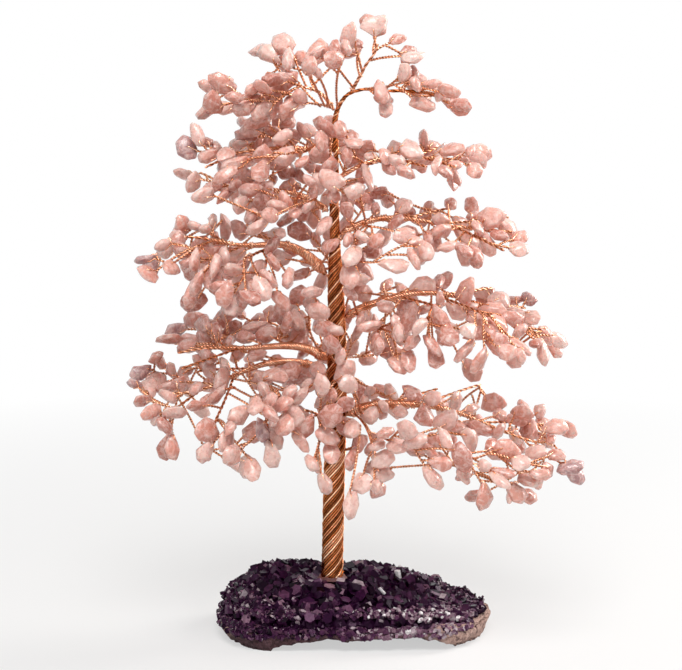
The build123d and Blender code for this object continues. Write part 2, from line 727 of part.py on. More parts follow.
def gaps_between_wires(start, end, starts, ends):
    """The least distance from one wire's axis to the axes of many."""
    ours, theirs, offset = end - start, ends - starts, start - starts
    ours_long = ours @ ours
    theirs_long = np.maximum(np.sum(theirs * theirs, axis=1), nearly_nothing)
    both = theirs @ ours
    along_ours, along_theirs = offset @ ours, np.sum(offset * theirs, axis=1)
    spread = ours_long * theirs_long - both * both
    skew = (both * along_theirs - along_ours * theirs_long) / np.maximum(spread, nearly_nothing)
    skew = np.where(spread > nearly_nothing, skew, 0.0)
    there = np.clip((both * np.clip(skew, 0.0, 1.0) + along_theirs) / theirs_long, 0.0, 1.0)
    here = np.clip((both * there - along_ours) / ours_long, 0.0, 1.0)
    return np.linalg.norm(start + here[:, None] * ours - starts - there[:, None] * theirs, axis=1)


# Stones

def chip_polygons(kind, grade):
    """The flat faces of one tumbled stone: a girdle, a smaller crown and belly, and sloping sides."""
    (long, wide, thick), outline = chip_kind_shares[kind]
    half_length = chip_length * long * grade / 2
    half_width = chip_width * wide * grade / 2
    half_thickness = chip_thickness * thick * grade / 2

    def ring(size, shift_along, shift_across, level):
        return [
            ((along * size + shift_along) * half_length, (across * size + shift_across) * half_width, level)
            for along, across in outline
        ]

    girdle = ring(1.0, 0.0, 0.0, 0.0)
    crown = ring(*chip_crown_shares, half_thickness)
    belly = ring(*chip_belly_shares, -half_thickness)
    polygons = [crown, belly[::-1]]
    for near in range(len(outline)):
        far = (near + 1) % len(outline)
        polygons.append([girdle[near], girdle[far], crown[far], crown[near]])
        polygons.append([belly[near], belly[far], girdle[far], girdle[near]])
    return polygons


class Pattern:
    """A stone's shape about its own middle, as a solid and as corners and faces."""
    def __init__(self, kind, grade):
        polygons = chip_polygons(kind, grade)
        with BuildPart() as chip:
            add(polyhedron(polygons))
        self.solid = chip.part.solid()
        self.length = chip_length * chip_kind_shares[kind][0][0] * grade
        self.corners = np.array([tuple(corner) for corner in self.solid.vertices()])
        faces = self.solid.faces()
        self.normals = np.array([tuple(face.normal_at()) for face in faces])
        self.offsets = np.array([(self.corners @ normal).max() for normal in self.normals])
        self.reach = float(np.linalg.norm(self.corners, axis=1).max())


class Stone:
    """A pattern set at a place, its length along one axis and its flat side facing another."""
    def __init__(self, pattern, centre, axis, facing):
        facing = unit(facing - axis * (facing @ axis))
        turn = np.array([axis, np.cross(facing, axis), facing])
        self.pattern, self.centre, self.axis, self.facing = pattern, centre, axis, facing
        self.reach = pattern.reach
        self.corners = pattern.corners @ turn + centre
        self.normals = pattern.normals @ turn
        self.offsets = pattern.offsets + self.normals @ centre
        self.hole = centre - axis * (pattern.length / 2 * drilled_hole_share)

    def solid(self):
        plane = Plane(origin=Vector(*self.centre), x_dir=Vector(*self.axis), z_dir=Vector(*self.facing))
        return self.pattern.solid.located(plane.location)


patterns = {
    kind: [Pattern(kind, grade) for grade in chip_grade_shares]
    for kind in chip_kind_shares
}
thicket = Thicket()


def grown_wires(points, radii):
    """Enter a curved wire's straight runs in the thicket, and return their indices."""
    return [
        thicket.add_wire(start, end, max(first, second))
        for start, end, first, second in zip(points, points[1:], radii, radii[1:])
    ]


# The trunk, with the leader that it ends in

trunk_knots = [at_pixel(across, down) for across, down, _ in trunk_pixels_and_girth_shares]
trunk_points = smooth_route(trunk_knots, trunk_step)
trunk_knot_heights = np.cumsum([0.0] + [
    float(np.linalg.norm(upper - lower)) for lower, upper in zip(trunk_knots, trunk_knots[1:])
])
trunk_heights = np.cumsum([0.0] + [
    float(np.linalg.norm(upper - lower)) for lower, upper in zip(trunk_points, trunk_points[1:])
])
trunk_radii = [
    trunk_foot_radius * float(np.interp(
        height * trunk_knot_heights[-1] / trunk_heights[-1],
        trunk_knot_heights,
        [girth for _, _, girth in trunk_pixels_and_girth_shares],
    ))
    for height in trunk_heights
]
trunk_solid = tapered_wire(trunk_points, trunk_radii, foot_way=np.array([0.0, 0.0, 1.0]))
trunk_wires = grown_wires(trunk_points, trunk_radii)


def clear_of_trunk(points, radius):
    """The part of a bough's route that starts at the trunk's surface."""
    fine = smooth_route(points, stem_step / route_fineness)
    along = unit(points[1] - points[0])
    trunk_starts, trunk_ends = thicket.starts[trunk_wires], thicket.ends[trunk_wires]
    units = (trunk_ends - trunk_starts) / np.linalg.norm(trunk_ends - trunk_starts, axis=1)[:, None]
    room = thicket.radii[trunk_wires] + wire_seat + radius * np.abs(units @ along)
    for index, point in enumerate(fine):
        away = np.linalg.norm(nearest_on_wires(trunk_starts, trunk_ends, point[None]) - point, axis=1)
        if np.all(away > room):
            return fine[index:]
    return fine[-2:]


def evenly_spaced(points, step):
    """Every so many of a fine route's points, with its ends."""
    length = sum(float(np.linalg.norm(after - before)) for before, after in zip(points, points[1:]))
    count = max(2, round(length / step))
    chosen = [round(index * (len(points) - 1) / count) for index in range(count + 1)]
    return [points[index] for index in chosen]


class Bough:
    """A stem with its side branches, its twigs and the stones on them."""
    def __init__(self, name, route, lean, girth, spread, stones, behind=False):
        self.name, self.places, self.behind = name, stones, behind
        self.chance = random.Random(name)
        self.spread = spread
        self.stem_pixels, self.lean = route, lean
        self.branch_solids, self.twig_solids, self.stones = [], [], []
        self.wires = list(trunk_wires)
        self.missed = 0
        self.grow_stem(girth)

    def fan_reach(self, right):
        """How far the bough goes before and behind its stem: a leaf's plan, narrow at both ends."""
        root, tip = self.stem_points[0][0], self.stem_points[-1][0]
        share = max(0.0, min(1.0, (right - root) / (tip - root)))
        return self.spread * canopy_reach(right) * math.sqrt(1 - fan_tip_share * share ** 2)

    def stem_depth(self, across):
        """The stem's depth where it crosses a column of the photograph."""
        root, tip = self.stem_pixels[0][0], self.stem_pixels[-1][0]
        share = halfway_share if self.behind else max(0.0, min(1.0, (across - root) / (tip - root)))
        return self.lean * canopy_depth * share

    def stem_down(self, across):
        """The row of the photograph where the stem crosses a column."""
        pixels = sorted(self.stem_pixels)
        return float(np.interp(across, [column for column, _ in pixels], [row for _, row in pixels]))

    def grow_stem(self, girth):
        count = len(self.stem_pixels)
        knots = [
            at_pixel(across, down, self.lean * canopy_depth * index / (count - 1))
            for index, (across, down) in enumerate(self.stem_pixels)
        ]
        root_radius = max(branch_tip_radius, trunk_foot_radius * girth)
        points = evenly_spaced(clear_of_trunk(knots, root_radius), stem_step)
        radii = list(np.linspace(root_radius, branch_tip_radius, len(points)))
        self.stem_points, self.stem_radii = points, radii
        self.branch_solids.append(tapered_wire(points, radii))
        self.stem_wires = grown_wires(points, radii)
        self.wires += self.stem_wires

    def grow_side_branches(self):
        """Wires that leave the stem by turns towards the viewer and away."""
        lengths = [float(np.linalg.norm(b - a)) for a, b in zip(self.stem_points, self.stem_points[1:])]
        heights = np.cumsum([0.0] + lengths)
        along = side_branch_pitch * first_side_branch_share
        side = -1
        while along < heights[-1] * side_branches_end_share:
            index = int(np.searchsorted(heights, along)) - 1
            start, end = self.stem_points[index], self.stem_points[index + 1]
            stem_way = unit(end - start)
            root = start + stem_way * (along - heights[index])
            reach = self.fan_reach(root[0]) * self.chance.uniform(*side_branch_reach_shares)
            if reach > side_branch_shortest:
                self.grow_side_branch(root, stem_way, side, reach, self.stem_wires[index])
            side = -side
            along += side_branch_pitch * self.chance.uniform(*side_branch_step_shares)

    def grow_side_branch(self, root, stem_way, side, reach, parent):
        """One side branch: shorter, or at another angle, where there is no room for it."""
        for shorter in side_branch_try_shares:
            for turn in side_branch_try_turns:
                angle = side_branch_angle + turn
                level = unit(np.array([stem_way[0], stem_way[1], 0.0]))
                across = np.array([-level[1], level[0], 0.0]) * (side if level[0] > 0 else -side)
                way = level * math.cos(angle) + across * math.sin(angle)
                jitter = self.chance.uniform(-side_branch_lift_jitter, side_branch_lift_jitter)
                way[2] = side_branch_lift_share * side + jitter + stem_way[2] * side_branch_climb_share
                way = unit(way)
                if self.try_side_branch(root, stem_way, way, side, reach * shorter, parent):
                    return

    def try_side_branch(self, root, stem_way, way, side, reach, parent):
        cosine = way @ stem_way
        sine = math.sqrt(max(0.0, 1 - cosine * cosine))
        if sine < least_branching_sine:
            return False
        clear = (thicket.radii[parent] + wire_seat + side_branch_radius * abs(cosine)) / sine
        first = root + way * clear
        droop = side_branch_droop_share * reach if side < 0 else 0.0
        bend = stem_way * reach * side_branch_bend_share - np.array([0.0, 0.0, droop])
        middle = root + way * (clear + reach * halfway_share) + bend * halfway_share ** 2
        last = root + way * (clear + reach) + bend
        points = smooth_route([first, middle, last], stem_step)
        radii = list(np.linspace(side_branch_radius, twig_radius, len(points)))
        for index, (start, end) in enumerate(zip(points, points[1:])):
            owner = parent if index == 0 else None
            if not thicket.wire_clears_wires(start, end, radii[index], owner):
                return False
        self.branch_solids.append(tapered_wire(points, radii))
        self.wires += grown_wires(points, radii)
        return True

    def nominal_depth(self, across, down):
        """A stone seen below its stem stands nearer the viewer, and one above it further off."""
        reach = self.fan_reach(at_pixel(across, down)[0])
        below = down - self.stem_down(across)
        jitter = self.chance.uniform(-depth_jitter_share, depth_jitter_share) * reach
        depth = jitter - below * depth_per_pixel_share * canopy_depth
        return self.stem_depth(across) + max(-reach, min(reach, depth))

    def anchors(self, centre):
        """Places on the bough's wires that a twig to a stone could leave from, the best first."""
        wires = np.array(self.wires)
        starts, ends = thicket.starts[wires], thicket.ends[wires]
        lengths = np.linalg.norm(ends - starts, axis=1)
        units = (ends - starts) / lengths[:, None]
        along = np.sum((centre - starts) * units, axis=1)
        off = np.linalg.norm(centre - starts - units * along[:, None], axis=1)
        least, most = wire_end_share * lengths, (1 - wire_end_share) * lengths
        at = np.clip(along - off / math.tan(branching_angle), least, most)
        roots = starts + units * at[:, None]
        reach = np.linalg.norm(centre - roots, axis=1)
        cosines = np.sum((centre - roots) * units, axis=1) / reach
        turned_back = np.maximum(0.0, easy_branching_cosine - cosines)
        cost = reach * (1 + turning_back_cost_share * turned_back)
        thick = thicket.radii[wires] > thick_wire_share * trunk_foot_radius
        cost += np.where(thick, thick_wire_cost_share * chip_length, 0.0)
        cheapest = np.argsort(cost)[:anchor_tries]
        order = [index for index in cheapest if cosines[index] > widest_branching_cosine]
        return [(roots[index], units[index], int(wires[index]), reach[index]) for index in order]

    def stances(self, way, kind):
        """Ways for a stone to sit on the end of its twig: along its length, and facing."""
        for _ in range(stance_tries):
            lean = np.array([self.chance.uniform(-stone_lean, stone_lean) for _ in range(3)])
            axis = unit(way + lean)
            if kind in hanging_kinds:
                axis = unit(axis - np.array([0.0, 0.0, hang_share]))
            roll, pitch = (self.chance.uniform(-stone_roll, stone_roll) for _ in range(2))
            yield axis, np.array([roll, -1.0, pitch])

    def place_stone(self, across, down, depth, kind):
        """Set one stone where it shows, and grow its twig; false if there is no room."""
        grades = patterns[kind]
        pattern = self.chance.choice(grades)
        for step in depth_tries:
            centre = at_pixel(across, down, depth + step * depth_step)
            for root, wire_way, parent, reach in self.anchors(centre):
                if reach > twig_longest:
                    continue
                for axis, facing in self.stances(unit(centre - root), kind):
                    stone = Stone(pattern, centre, axis, facing)
                    if not thicket.stone_clears_all(stone):
                        continue
                    ends = self.twig_ends(root, wire_way, parent, stone)
                    if ends is None:
                        continue
                    if not thicket.wire_clears_wires(*ends, twig_radius, parent):
                        continue
                    if not thicket.wire_clears_stones(*ends, twig_radius):
                        continue
                    self.wires.append(thicket.add_wire(*ends, twig_radius))
                    thicket.add_stone(stone)
                    self.stones.append(stone)
                    self.twig_solids.append(straight_wire(*ends, twig_radius))
                    return True
        self.missed += 1
        return False

    def twig_ends(self, root, wire_way, parent, stone):
        """A twig's two ends, seated on the wire that it leaves and on its stone."""
        way = unit(stone.hole - root)
        cosine = way @ wire_way
        sine = math.sqrt(max(0.0, 1 - cosine * cosine))
        if sine < least_branching_sine:
            return None
        start = (thicket.radii[parent] + wire_seat + twig_radius * abs(cosine)) / sine
        slopes = stone.normals @ way
        facing = slopes < -met_squarely_cosine
        edge = twig_radius * np.sqrt(np.maximum(0.0, 1 - slopes[facing] ** 2))
        stops = (stone.offsets[facing] + wire_seat + edge - stone.normals[facing] @ root) / slopes[facing]
        end = stops.max()
        if end - start < twig_shortest:
            return None
        return root + way * start, root + way * end

    def place_shown_stones(self):
        def from_root(place):
            return math.dist(place[:2], self.stem_pixels[0])

        for across, down, *kinds in sorted(self.places, key=from_root):
            kind = kinds[0] if kinds else self.chance.choice(usual_chip_kinds)
            depth = self.nominal_depth(across, down)
            if self.behind:
                depth = self.lean * canopy_depth * self.chance.uniform(*behind_depth_shares)
            elif abs(at_pixel(across, down)[0]) < trunk_foot_radius + chip_width / 2:
                depth = -abs(depth) - chip_width
            self.place_stone(across, down, depth, kind)

    def place_far_stones(self):
        """Stones behind those that show, so that the bough is as full from the back."""
        if self.behind:
            return
        for place in self.places[::far_stone_every]:
            across = place[0] + self.chance.uniform(-far_stone_jitter, far_stone_jitter)
            down = place[1] + self.chance.uniform(-far_stone_jitter, far_stone_jitter)
            reach = self.fan_reach(at_pixel(across, down)[0])
            depth = self.stem_depth(across) + reach * self.chance.uniform(*far_depth_shares)
            self.place_stone(across, down, depth, self.chance.choice(usual_chip_kinds))


tree = [Bough(name, **facts) for name, facts in boughs.items()]
for bough in tree:
    bough.grow_side_branches()
for bough in tree:
    bough.place_shown_stones()
for bough in tree:
    bough.place_far_stones()


# The finished pieces, one file each

def write_piece(name, shape):
    shape.label = name
    export_step(shape, f"parts/{name}.step", write_pcurves=False)


write_piece("base_rock", base_rock.part)
write_piece("quartz_band", quartz_band.part)
write_piece("amethyst_druse", amethyst_druse.part)
write_piece("foot_collar", foot_collar.part)
write_piece("trunk", trunk_solid)
for bough in tree:
    write_piece(f"{bough.name}_stems", Compound(children=bough.branch_solids))
    write_piece(f"{bough.name}_twigs", Compound(children=bough.twig_solids))
    write_piece(f"{bough.name}_chips", Compound(children=[stone.solid() for stone in bough.stones]))
    print(
        f"{bough.name}: {len(bough.branch_solids)} stems, {len(bough.twig_solids)} twigs, "
        f"{len(bough.stones)} stones, {bough.missed} without room"
    )
print(f"{sum(len(bough.stones) for bough in tree)} stones in all")
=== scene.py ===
import math
import random

import bpy
import numpy as np
from bpy.props import FloatProperty, FloatVectorProperty, PointerProperty
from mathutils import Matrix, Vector
from mathutils.bvhtree import BVHTree
from mathutils.kdtree import KDTree


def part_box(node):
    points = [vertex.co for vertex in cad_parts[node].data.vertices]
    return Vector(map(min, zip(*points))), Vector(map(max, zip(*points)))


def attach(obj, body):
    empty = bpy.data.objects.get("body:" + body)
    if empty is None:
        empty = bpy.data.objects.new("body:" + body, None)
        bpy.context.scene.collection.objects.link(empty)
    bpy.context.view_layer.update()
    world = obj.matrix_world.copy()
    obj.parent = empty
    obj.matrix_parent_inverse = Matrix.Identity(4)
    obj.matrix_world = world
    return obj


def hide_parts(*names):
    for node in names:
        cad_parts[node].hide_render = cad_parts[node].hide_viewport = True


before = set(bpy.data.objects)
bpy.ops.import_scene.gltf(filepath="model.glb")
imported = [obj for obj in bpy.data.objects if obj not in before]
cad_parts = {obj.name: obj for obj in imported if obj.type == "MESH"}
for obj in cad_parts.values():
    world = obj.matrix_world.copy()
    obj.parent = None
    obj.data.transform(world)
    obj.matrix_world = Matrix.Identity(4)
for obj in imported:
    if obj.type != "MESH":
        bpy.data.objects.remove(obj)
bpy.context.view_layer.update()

bl_info = {
    "name": "Gemstone Tree Ornament",
    "version": (1, 0, 0),
    "blender": (4, 5, 0),
    "location": "3D View > Sidebar > Gem Tree",
    "description": "A wire tree with rose quartz chips on an amethyst slab, dressed around its packed solids",
    "category": "Add Mesh",
}

BODY = "root"
MM = 0.001
WELD = 1e-6
BOUGHS = sorted(name[:-len("_chips")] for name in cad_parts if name.endswith("_chips"))

# The photograph's frame and lens in its own pixels, its downward pitch, the sensor that the lens is worked
# out for in millimetres, and where its eye stands in metres
VIEW_CENTRE = (341, 335)
VIEW_FOCAL = 1867
VIEW_WIDE = 682
VIEW_PITCH = math.radians(9.2)
SENSOR_WIDE = 36.0
EYE = Vector((0.0035, -0.7011, 0.2297))

# Stones that show greyed and clearer than the rest, by their pixels in the photograph, and how many pixels
# from there a stone's middle may lie
CLEAR_STONES = [
    (187, 148), (175, 330), (145, 373), (134, 383), (265, 435), (531, 297), (147, 259), (571, 467),
]
CLEAR_STONE_REACH = 9

# How far from the origin, seen from above, a twig starts that leaves the trunk itself
TRUNK_REACH = 6.0 * MM

# The trunk's girth as the photograph shows it: the height up the trunk, and the share of the solid's
TRUNK_GIRTH = [
    (0, 0.90), (80 * MM, 0.90), (107 * MM, 0.84), (122 * MM, 0.76), (131 * MM, 0.72),
    (150 * MM, 0.78), (165 * MM, 0.90), (176 * MM, 1.0),
]

# The foot's glue is drawn this much narrower and lower than its solid
COLLAR_WIDTH_SHARE = 0.86
COLLAR_HEIGHT_SHARE = 0.55

# Painted glints, drawn as white crystals among the amethyst: foot and tip as pixels, and width
PAINTED_GLINTS = [((398, 573), (396, 562), 2.6 * MM), ((381, 590), (373, 581), 1.3 * MM)]

# How far they stand out towards the eye, clear of the points in front of them
PAINTED_GLINTS_FORWARD = 4.0 * MM


# The sizes and colours that a user would change

def length_property(name, description, default):
    """A size in metres."""
    return FloatProperty(
        name=name, description=description, default=default, min=0.0, unit="LENGTH", precision=5
    )


def share_property(name, description, default):
    """A share from nought to one."""
    return FloatProperty(
        name=name, description=description, default=default, min=0.0, max=1.0, subtype="FACTOR"
    )


def colour_property(name, description, default):
    """A linear colour."""
    return FloatVectorProperty(
        name=name, description=description, default=default, size=4, min=0.0, max=1.0, subtype="COLOR"
    )


class StoneSettings(bpy.types.PropertyGroup):
    """The tumbled rose quartz chips"""
    proportions: FloatVectorProperty(
        name="Proportions", description="How much a chip grows in its length, width and thickness",
        default=(1.14, 1.26, 0.80), size=3, min=0.5, max=1.5,
    )
    wear: length_property("Wear", "How far the edges of a chip are worn down", 0.85 * MM)
    taper: share_property("Taper", "How much narrower than the other a chip's one end can be", 0.42)
    skew: share_property("Skew", "How far a chip's one end can lie to the side", 0.22)
    crookedness: length_property("Crookedness", "How far each corner of a chip wanders", 0.42 * MM)
    unevenness: length_property("Unevenness", "How far a chip's skin wanders in and out", 0.35 * MM)
    unevenness_size: length_property("Unevenness size", "The width of a chip's dents", 4.5 * MM)
    # Worn edges are painted paler: a painted highlight along them
    edge_area: FloatProperty(
        name="Edge area", description="Facets smaller than this are worn edges, which show milky",
        default=2.6 * MM * MM, unit="AREA", precision=8,
    )
    largest: FloatVectorProperty(
        name="Largest", description="The most that a chip grows to in its length, width and thickness",
        default=(11.4 * MM, 9.4 * MM, 5.0 * MM), size=3, unit="LENGTH", precision=5,
    )
    # Haze is the white of the veils, and also of the painted highlight along the worn edges
    haze_and_highlight: colour_property("Haze", "The white of worn edges and veils", (0.95, 0.74, 0.69, 1.0))
    milk: colour_property("Milk", "The palest quartz", (0.92, 0.64, 0.57, 1.0))
    rose: colour_property("Rose", "The usual quartz", (0.78, 0.365, 0.287, 1.0))
    peach: colour_property("Peach", "The deepest quartz", (0.52, 0.18, 0.13, 1.0))
    clear: colour_property("Clear", "The greyed, clearer quartz", (0.46, 0.25, 0.25, 1.0))


class WireSettings(bpy.types.PropertyGroup):
    """The twisted copper wire of the boughs"""
    strand_radius: length_property("Strand radius", "Half the thickness of one wire", 0.29 * MM)
    pair_pitch: length_property("Pair pitch", "The length of one turn of a twisted pair", 2.5 * MM)
    rope_radius: length_property("Rope wire radius", "Half the thickness of a stem's wires", 0.33 * MM)
    rope_lay: FloatProperty(
        name="Rope lay", description="The slant of a stem's wires", default=math.radians(36), subtype="ANGLE"
    )
    slimming: FloatProperty(
        name="Slimming", default=1.5,
        description="How soon a stem thins towards its tip: one is evenly along it",
    )
    bow: share_property("Bow", "How far a twig bows, as a share of its length", 0.05)
    eye_depth: share_property(
        "Eye depth", "How far from a chip's edge its hole lies, towards its middle", 0.5
    )
    wrap_turns: FloatProperty(
        name="Wrap turns", description="How often a twig's wire goes round its stem", default=2.0
    )
    wrap_least: length_property(
        "Least wrapped stem", "The radius under which a stem has no coils", 0.60 * MM
    )
    wrap_full: length_property(
        "Fully wrapped stem", "The radius from which a stem has all its coils", 1.0 * MM
    )
    wrap_reach: length_property(
        "Wrap reach", "How far from a stem's skin a twig can start and still be wound on it", 0.7 * MM
    )
    trunk_root: length_property("Trunk root", "How far a twig on the trunk reaches into it", 2.0 * MM)
    # Bright copper shows only on the crests: a painted highlight over the clean copper
    bright: colour_property("Bright copper", "The wire's clean colour", (0.97, 0.62, 0.44, 1.0))
    # Browned copper is tarnish in patches, and also the flanks' tone between the painted shade and the
    # painted highlight
    brown: colour_property("Browned copper", "The wire's tarnished colour", (0.58, 0.20, 0.085, 1.0))
    # Painted shade: the near black where the wires meet in their rope's grooves
    painted_groove_shade: colour_property("Groove", "The dark between the wires", (0.05, 0.008, 0.002, 1.0))


class TrunkSettings(bpy.types.PropertyGroup):
    """The trunk of wires laid up together"""
    strand_radius: length_property("Strand radius", "Half the thickness of one wire of the trunk", 0.43 * MM)
    lay: FloatProperty(
        name="Lay", description="The slant of the trunk's wires", default=math.radians(39), subtype="ANGLE"
    )
    sunk: length_property("Sunk", "How far the wires lie in and out of line", 0.28 * MM)
    # Bright copper shows only on the crests: a painted highlight over the trunk's clean copper
    bright: colour_property("Bright copper", "The trunk's clean wires", (1.0, 0.68, 0.46, 1.0))
    # Browned copper is tarnish in patches, and also the flanks' tone between the painted shade and the
    # painted highlight
    brown: colour_property("Browned copper", "The trunk's tarnished wires", (0.55, 0.155, 0.045, 1.0))
    # Painted shade: the near black where the trunk's wires meet in its grooves
    painted_groove_shade: colour_property("Groove", "The dark between the trunk's wires", (0.02, 0.002, 0.0005, 1.0))
    flare: length_property("Flare", "How far the wires splay at the foot", 0.8 * MM)
    flare_height: length_property("Flare height", "The height over which they splay", 5.0 * MM)


class SlabSettings(bpy.types.PropertyGroup):
    """The amethyst on its natural rock"""
    crystal_width: length_property("Crystal width", "The usual width of an amethyst point", 4.1 * MM)
    crystal_pitch: length_property("Crystal pitch", "How far apart the points stand", 3.3 * MM)
    sugar_width: length_property("Fine crystal width", "The width of the fine points at the rim", 1.25 * MM)
    sugar_pitch: length_property("Fine crystal pitch", "How far apart the fine points stand", 1.35 * MM)
    side_width: length_property(
        "Side crystal width", "The width of the points down the rock's sides", 1.9 * MM
    )
    side_pitch: length_property("Side crystal pitch", "How far apart they stand", 1.6 * MM)
    sugar_floor: length_property(
        "Fine crystal floor", "How far down the rock's side the fine points reach", 5.2 * MM
    )
    rock_grain: length_property("Rock grain", "The size of the mesh of the rough rock", 0.9 * MM)
    rock_relief: length_property("Rock relief", "How rough the rock's sides are", 2.2 * MM)
    dark: colour_property("Dark amethyst", "The deep body colour", (0.003, 0.0005, 0.004, 1.0))
    violet: colour_property("Violet amethyst", "The clear violet", (0.035, 0.006, 0.034, 1.0))
    plum: colour_property("Plum", "The milky violet of the fine crystals", (0.12, 0.043, 0.098, 1.0))
    lilac: colour_property("Lilac", "The palest crystals", (0.31, 0.185, 0.245, 1.0))
    # Painted glint: the white of the few crystals that stand for glints
    glint: colour_property("Glint", "The few white crystals", (1.0, 0.98, 1.0, 1.0))
    right_rind: length_property("Right rind", "How far right of the trunk the tan rind begins", 34 * MM)
    left_rind: length_property("Left rind", "How far left of the trunk the tan rind begins", 36 * MM)
    tan: colour_property("Tan rock", "The weathered rind", (0.50, 0.33, 0.28, 1.0))
    mauve: colour_property("Mauve rock", "The banded rock below the crystals", (0.075, 0.034, 0.040, 1.0))
    umber: colour_property("Umber rock", "The rock's crevices and underside", (0.022, 0.009, 0.010, 1.0))


class StageSettings(bpy.types.PropertyGroup):
    """The floor, the light and the camera"""
    floor_size: length_property("Floor size", "The side of the floor", 6.0)
    key: FloatProperty(
        name="Key light", description="Power of the soft light above the front, in watts", default=7.3
    )
    strip: FloatProperty(
        name="Strip light", description="Power of the tall light in front on the left, in watts", default=1.7
    )
    rim: FloatProperty(
        name="Rim light", description="Power of the light from behind on the right, in watts", default=5.0
    )
    ambient: FloatProperty(
        name="Ambient", description="Strength of the light from all round", default=0.15
    )


# Selecting, copying and finishing objects

def select_only(*objects):
    bpy.ops.object.select_all(action="DESELECT")
    for obj in objects:
        obj.select_set(True)
    bpy.context.view_layer.objects.active = objects[0]


def in_edit_mode(obj, *steps):
    """Run modelling steps on an object in edit mode, with all of it selected first."""
    select_only(obj)
    bpy.ops.object.mode_set(mode="EDIT")
    bpy.ops.mesh.select_all(action="SELECT")
    for step in steps:
        step()
    bpy.ops.object.mode_set(mode="OBJECT")


def new_object(name, data):
    obj = bpy.data.objects.new(name, data)
    bpy.context.scene.collection.objects.link(obj)
    return obj


def merged_copy(node, name):
    """A copy of a packed solid's mesh, its loose triangles merged."""
    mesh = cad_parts[node].data.copy()
    mesh.name = name
    mesh.materials.clear()
    obj = new_object(name, mesh)
    in_edit_mode(
        obj,
        lambda: bpy.ops.mesh.remove_doubles(threshold=WELD),
        bpy.ops.mesh.customdata_custom_splitnormals_clear,
        lambda: bpy.ops.mesh.normals_make_consistent(inside=False),
    )
    return obj


def discard(obj):
    mesh = obj.data
    bpy.data.objects.remove(obj)
    bpy.data.meshes.remove(mesh)


def corner_points(mesh):
    points = np.empty(len(mesh.vertices) * 3)
    mesh.vertices.foreach_get("co", points)
    return points.reshape(-1, 3)


def set_corner_points(mesh, points):
    mesh.vertices.foreach_set("co", np.asarray(points, dtype=np.float32).ravel())
    mesh.update()


def edge_ends(mesh):
    ends = np.empty(len(mesh.edges) * 2, dtype=int)
    mesh.edges.foreach_get("vertices", ends)
    return ends.reshape(-1, 2)


def solid_numbers(mesh):
    """For each corner of a merged mesh, the number of the separate solid that it belongs to."""
    ends = edge_ends(mesh)
    label = np.arange(len(mesh.vertices))
    while True:
        low = label[ends].min(axis=1)
        fresh = label.copy()
        np.minimum.at(fresh, ends[:, 0], low)
        np.minimum.at(fresh, ends[:, 1], low)
        fresh = fresh[fresh]
        if np.array_equal(fresh, label):
            return np.unique(label, return_inverse=True)[1]
        label = fresh


def add_modifier(obj, kind, **settings):
    """Add a modifier with its settings, and apply it."""
    select_only(obj)
    modifier = obj.modifiers.new(kind.lower(), kind)
    for key, value in settings.items():
        setattr(modifier, key, value)
    bpy.ops.object.modifier_apply(modifier=modifier.name)


def displace(obj, texture, height):
    """Move an object's skin in and out by a texture, over a height in all."""
    add_modifier(obj, "DISPLACE", texture=texture, texture_coords="LOCAL", strength=height, mid_level=0.5)


def clouds(name, size, depth=2):
    texture = bpy.data.textures.new(name, "CLOUDS")
    texture.noise_scale = size
    texture.noise_depth = depth
    return texture


def set_share(mesh, name, values, domain="POINT"):
    """Keep one number for each corner or face, for a material to read."""
    attribute = mesh.attributes.new(name, "FLOAT", domain)
    attribute.data.foreach_set("value", np.asarray(values, dtype=np.float32))


def hand_over(obj, slot, material, *nodes):
    """Give a finished piece its material, its body and the solids that it stands for; the slot is not used.
    """
    obj.data.materials.clear()
    obj.data.materials.append(material)
    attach(obj, BODY)
    if nodes:
        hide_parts(*nodes)


# Lines through the solids of the wires

def line_of_twig(points):
    """The two ends of a straight round wire's middle line, from its corner points."""
    middle = points.mean(axis=0)
    way = np.linalg.svd(points - middle, full_matrices=False)[2][0]
    along = (points - middle) @ way
    return middle + way * along.min(), middle + way * along.max()


def twig_lines(node):
    """The middle lines of all the straight wires of a node."""
    copy = merged_copy(node, "twigs_read")
    points, number = corner_points(copy.data), solid_numbers(copy.data)
    lines = [line_of_twig(points[number == index]) for index in range(number.max() + 1)]
    discard(copy)
    return lines


def cap_corners(mesh, faces):
    """The corners of a wire bundle's two flat ends, which are its largest sets of level faces."""
    groups = {}
    for face in faces:
        polygon = mesh.polygons[face]
        key = tuple(round(value, 3) for value in polygon.normal)
        groups.setdefault(key, []).append(polygon)
    largest = sorted(groups.values(), key=len)[-2:]
    return [{corner for polygon in group for corner in polygon.vertices} for group in largest]


def bundle_lines(node):
    """For each wire bundle of a node, the points of its middle line and its radius at each, root first."""
    copy = merged_copy(node, "bundles_read")
    mesh = copy.data
    points, number = corner_points(mesh), solid_numbers(mesh)
    faces = {}
    for polygon in mesh.polygons:
        faces.setdefault(number[polygon.vertices[0]], []).append(polygon.index)
    near = [set() for _ in mesh.vertices]
    for start, end in edge_ends(mesh):
        near[start].add(end)
        near[end].add(start)
    lines = []
    for index in range(number.max() + 1):
        ring = cap_corners(mesh, faces[index])[0]
        seen, middles, radii = set(ring), [], []
        while ring:
            place = points[list(ring)]
            middles.append(place.mean(axis=0))
            radii.append(float(np.linalg.norm(place - middles[-1], axis=1).mean()))
            ring = {corner for inner in ring for corner in near[inner]} - seen
            seen |= ring
        if radii[0] < radii[-1]:
            middles.reverse()
            radii.reverse()
        lines.append((np.array(middles), np.array(radii)))
    discard(copy)
    return lines


def slimmed(points, radii, slimming):
    """A stem's radii from its root's to its tip's: evenly along it, or thinning sooner.

    The radii read between the two ends aren't used, because rings close to a tip run into one another.
    """
    run = np.concatenate([[0.0], np.cumsum(np.linalg.norm(np.diff(points, axis=0), axis=1))])
    return radii[-1] + (radii[0] - radii[-1]) * (1 - run / run[-1]) ** slimming


def unit(vector):
    return vector / np.linalg.norm(vector)


# A curve has at least this many steps
FEWEST_STEPS = 4


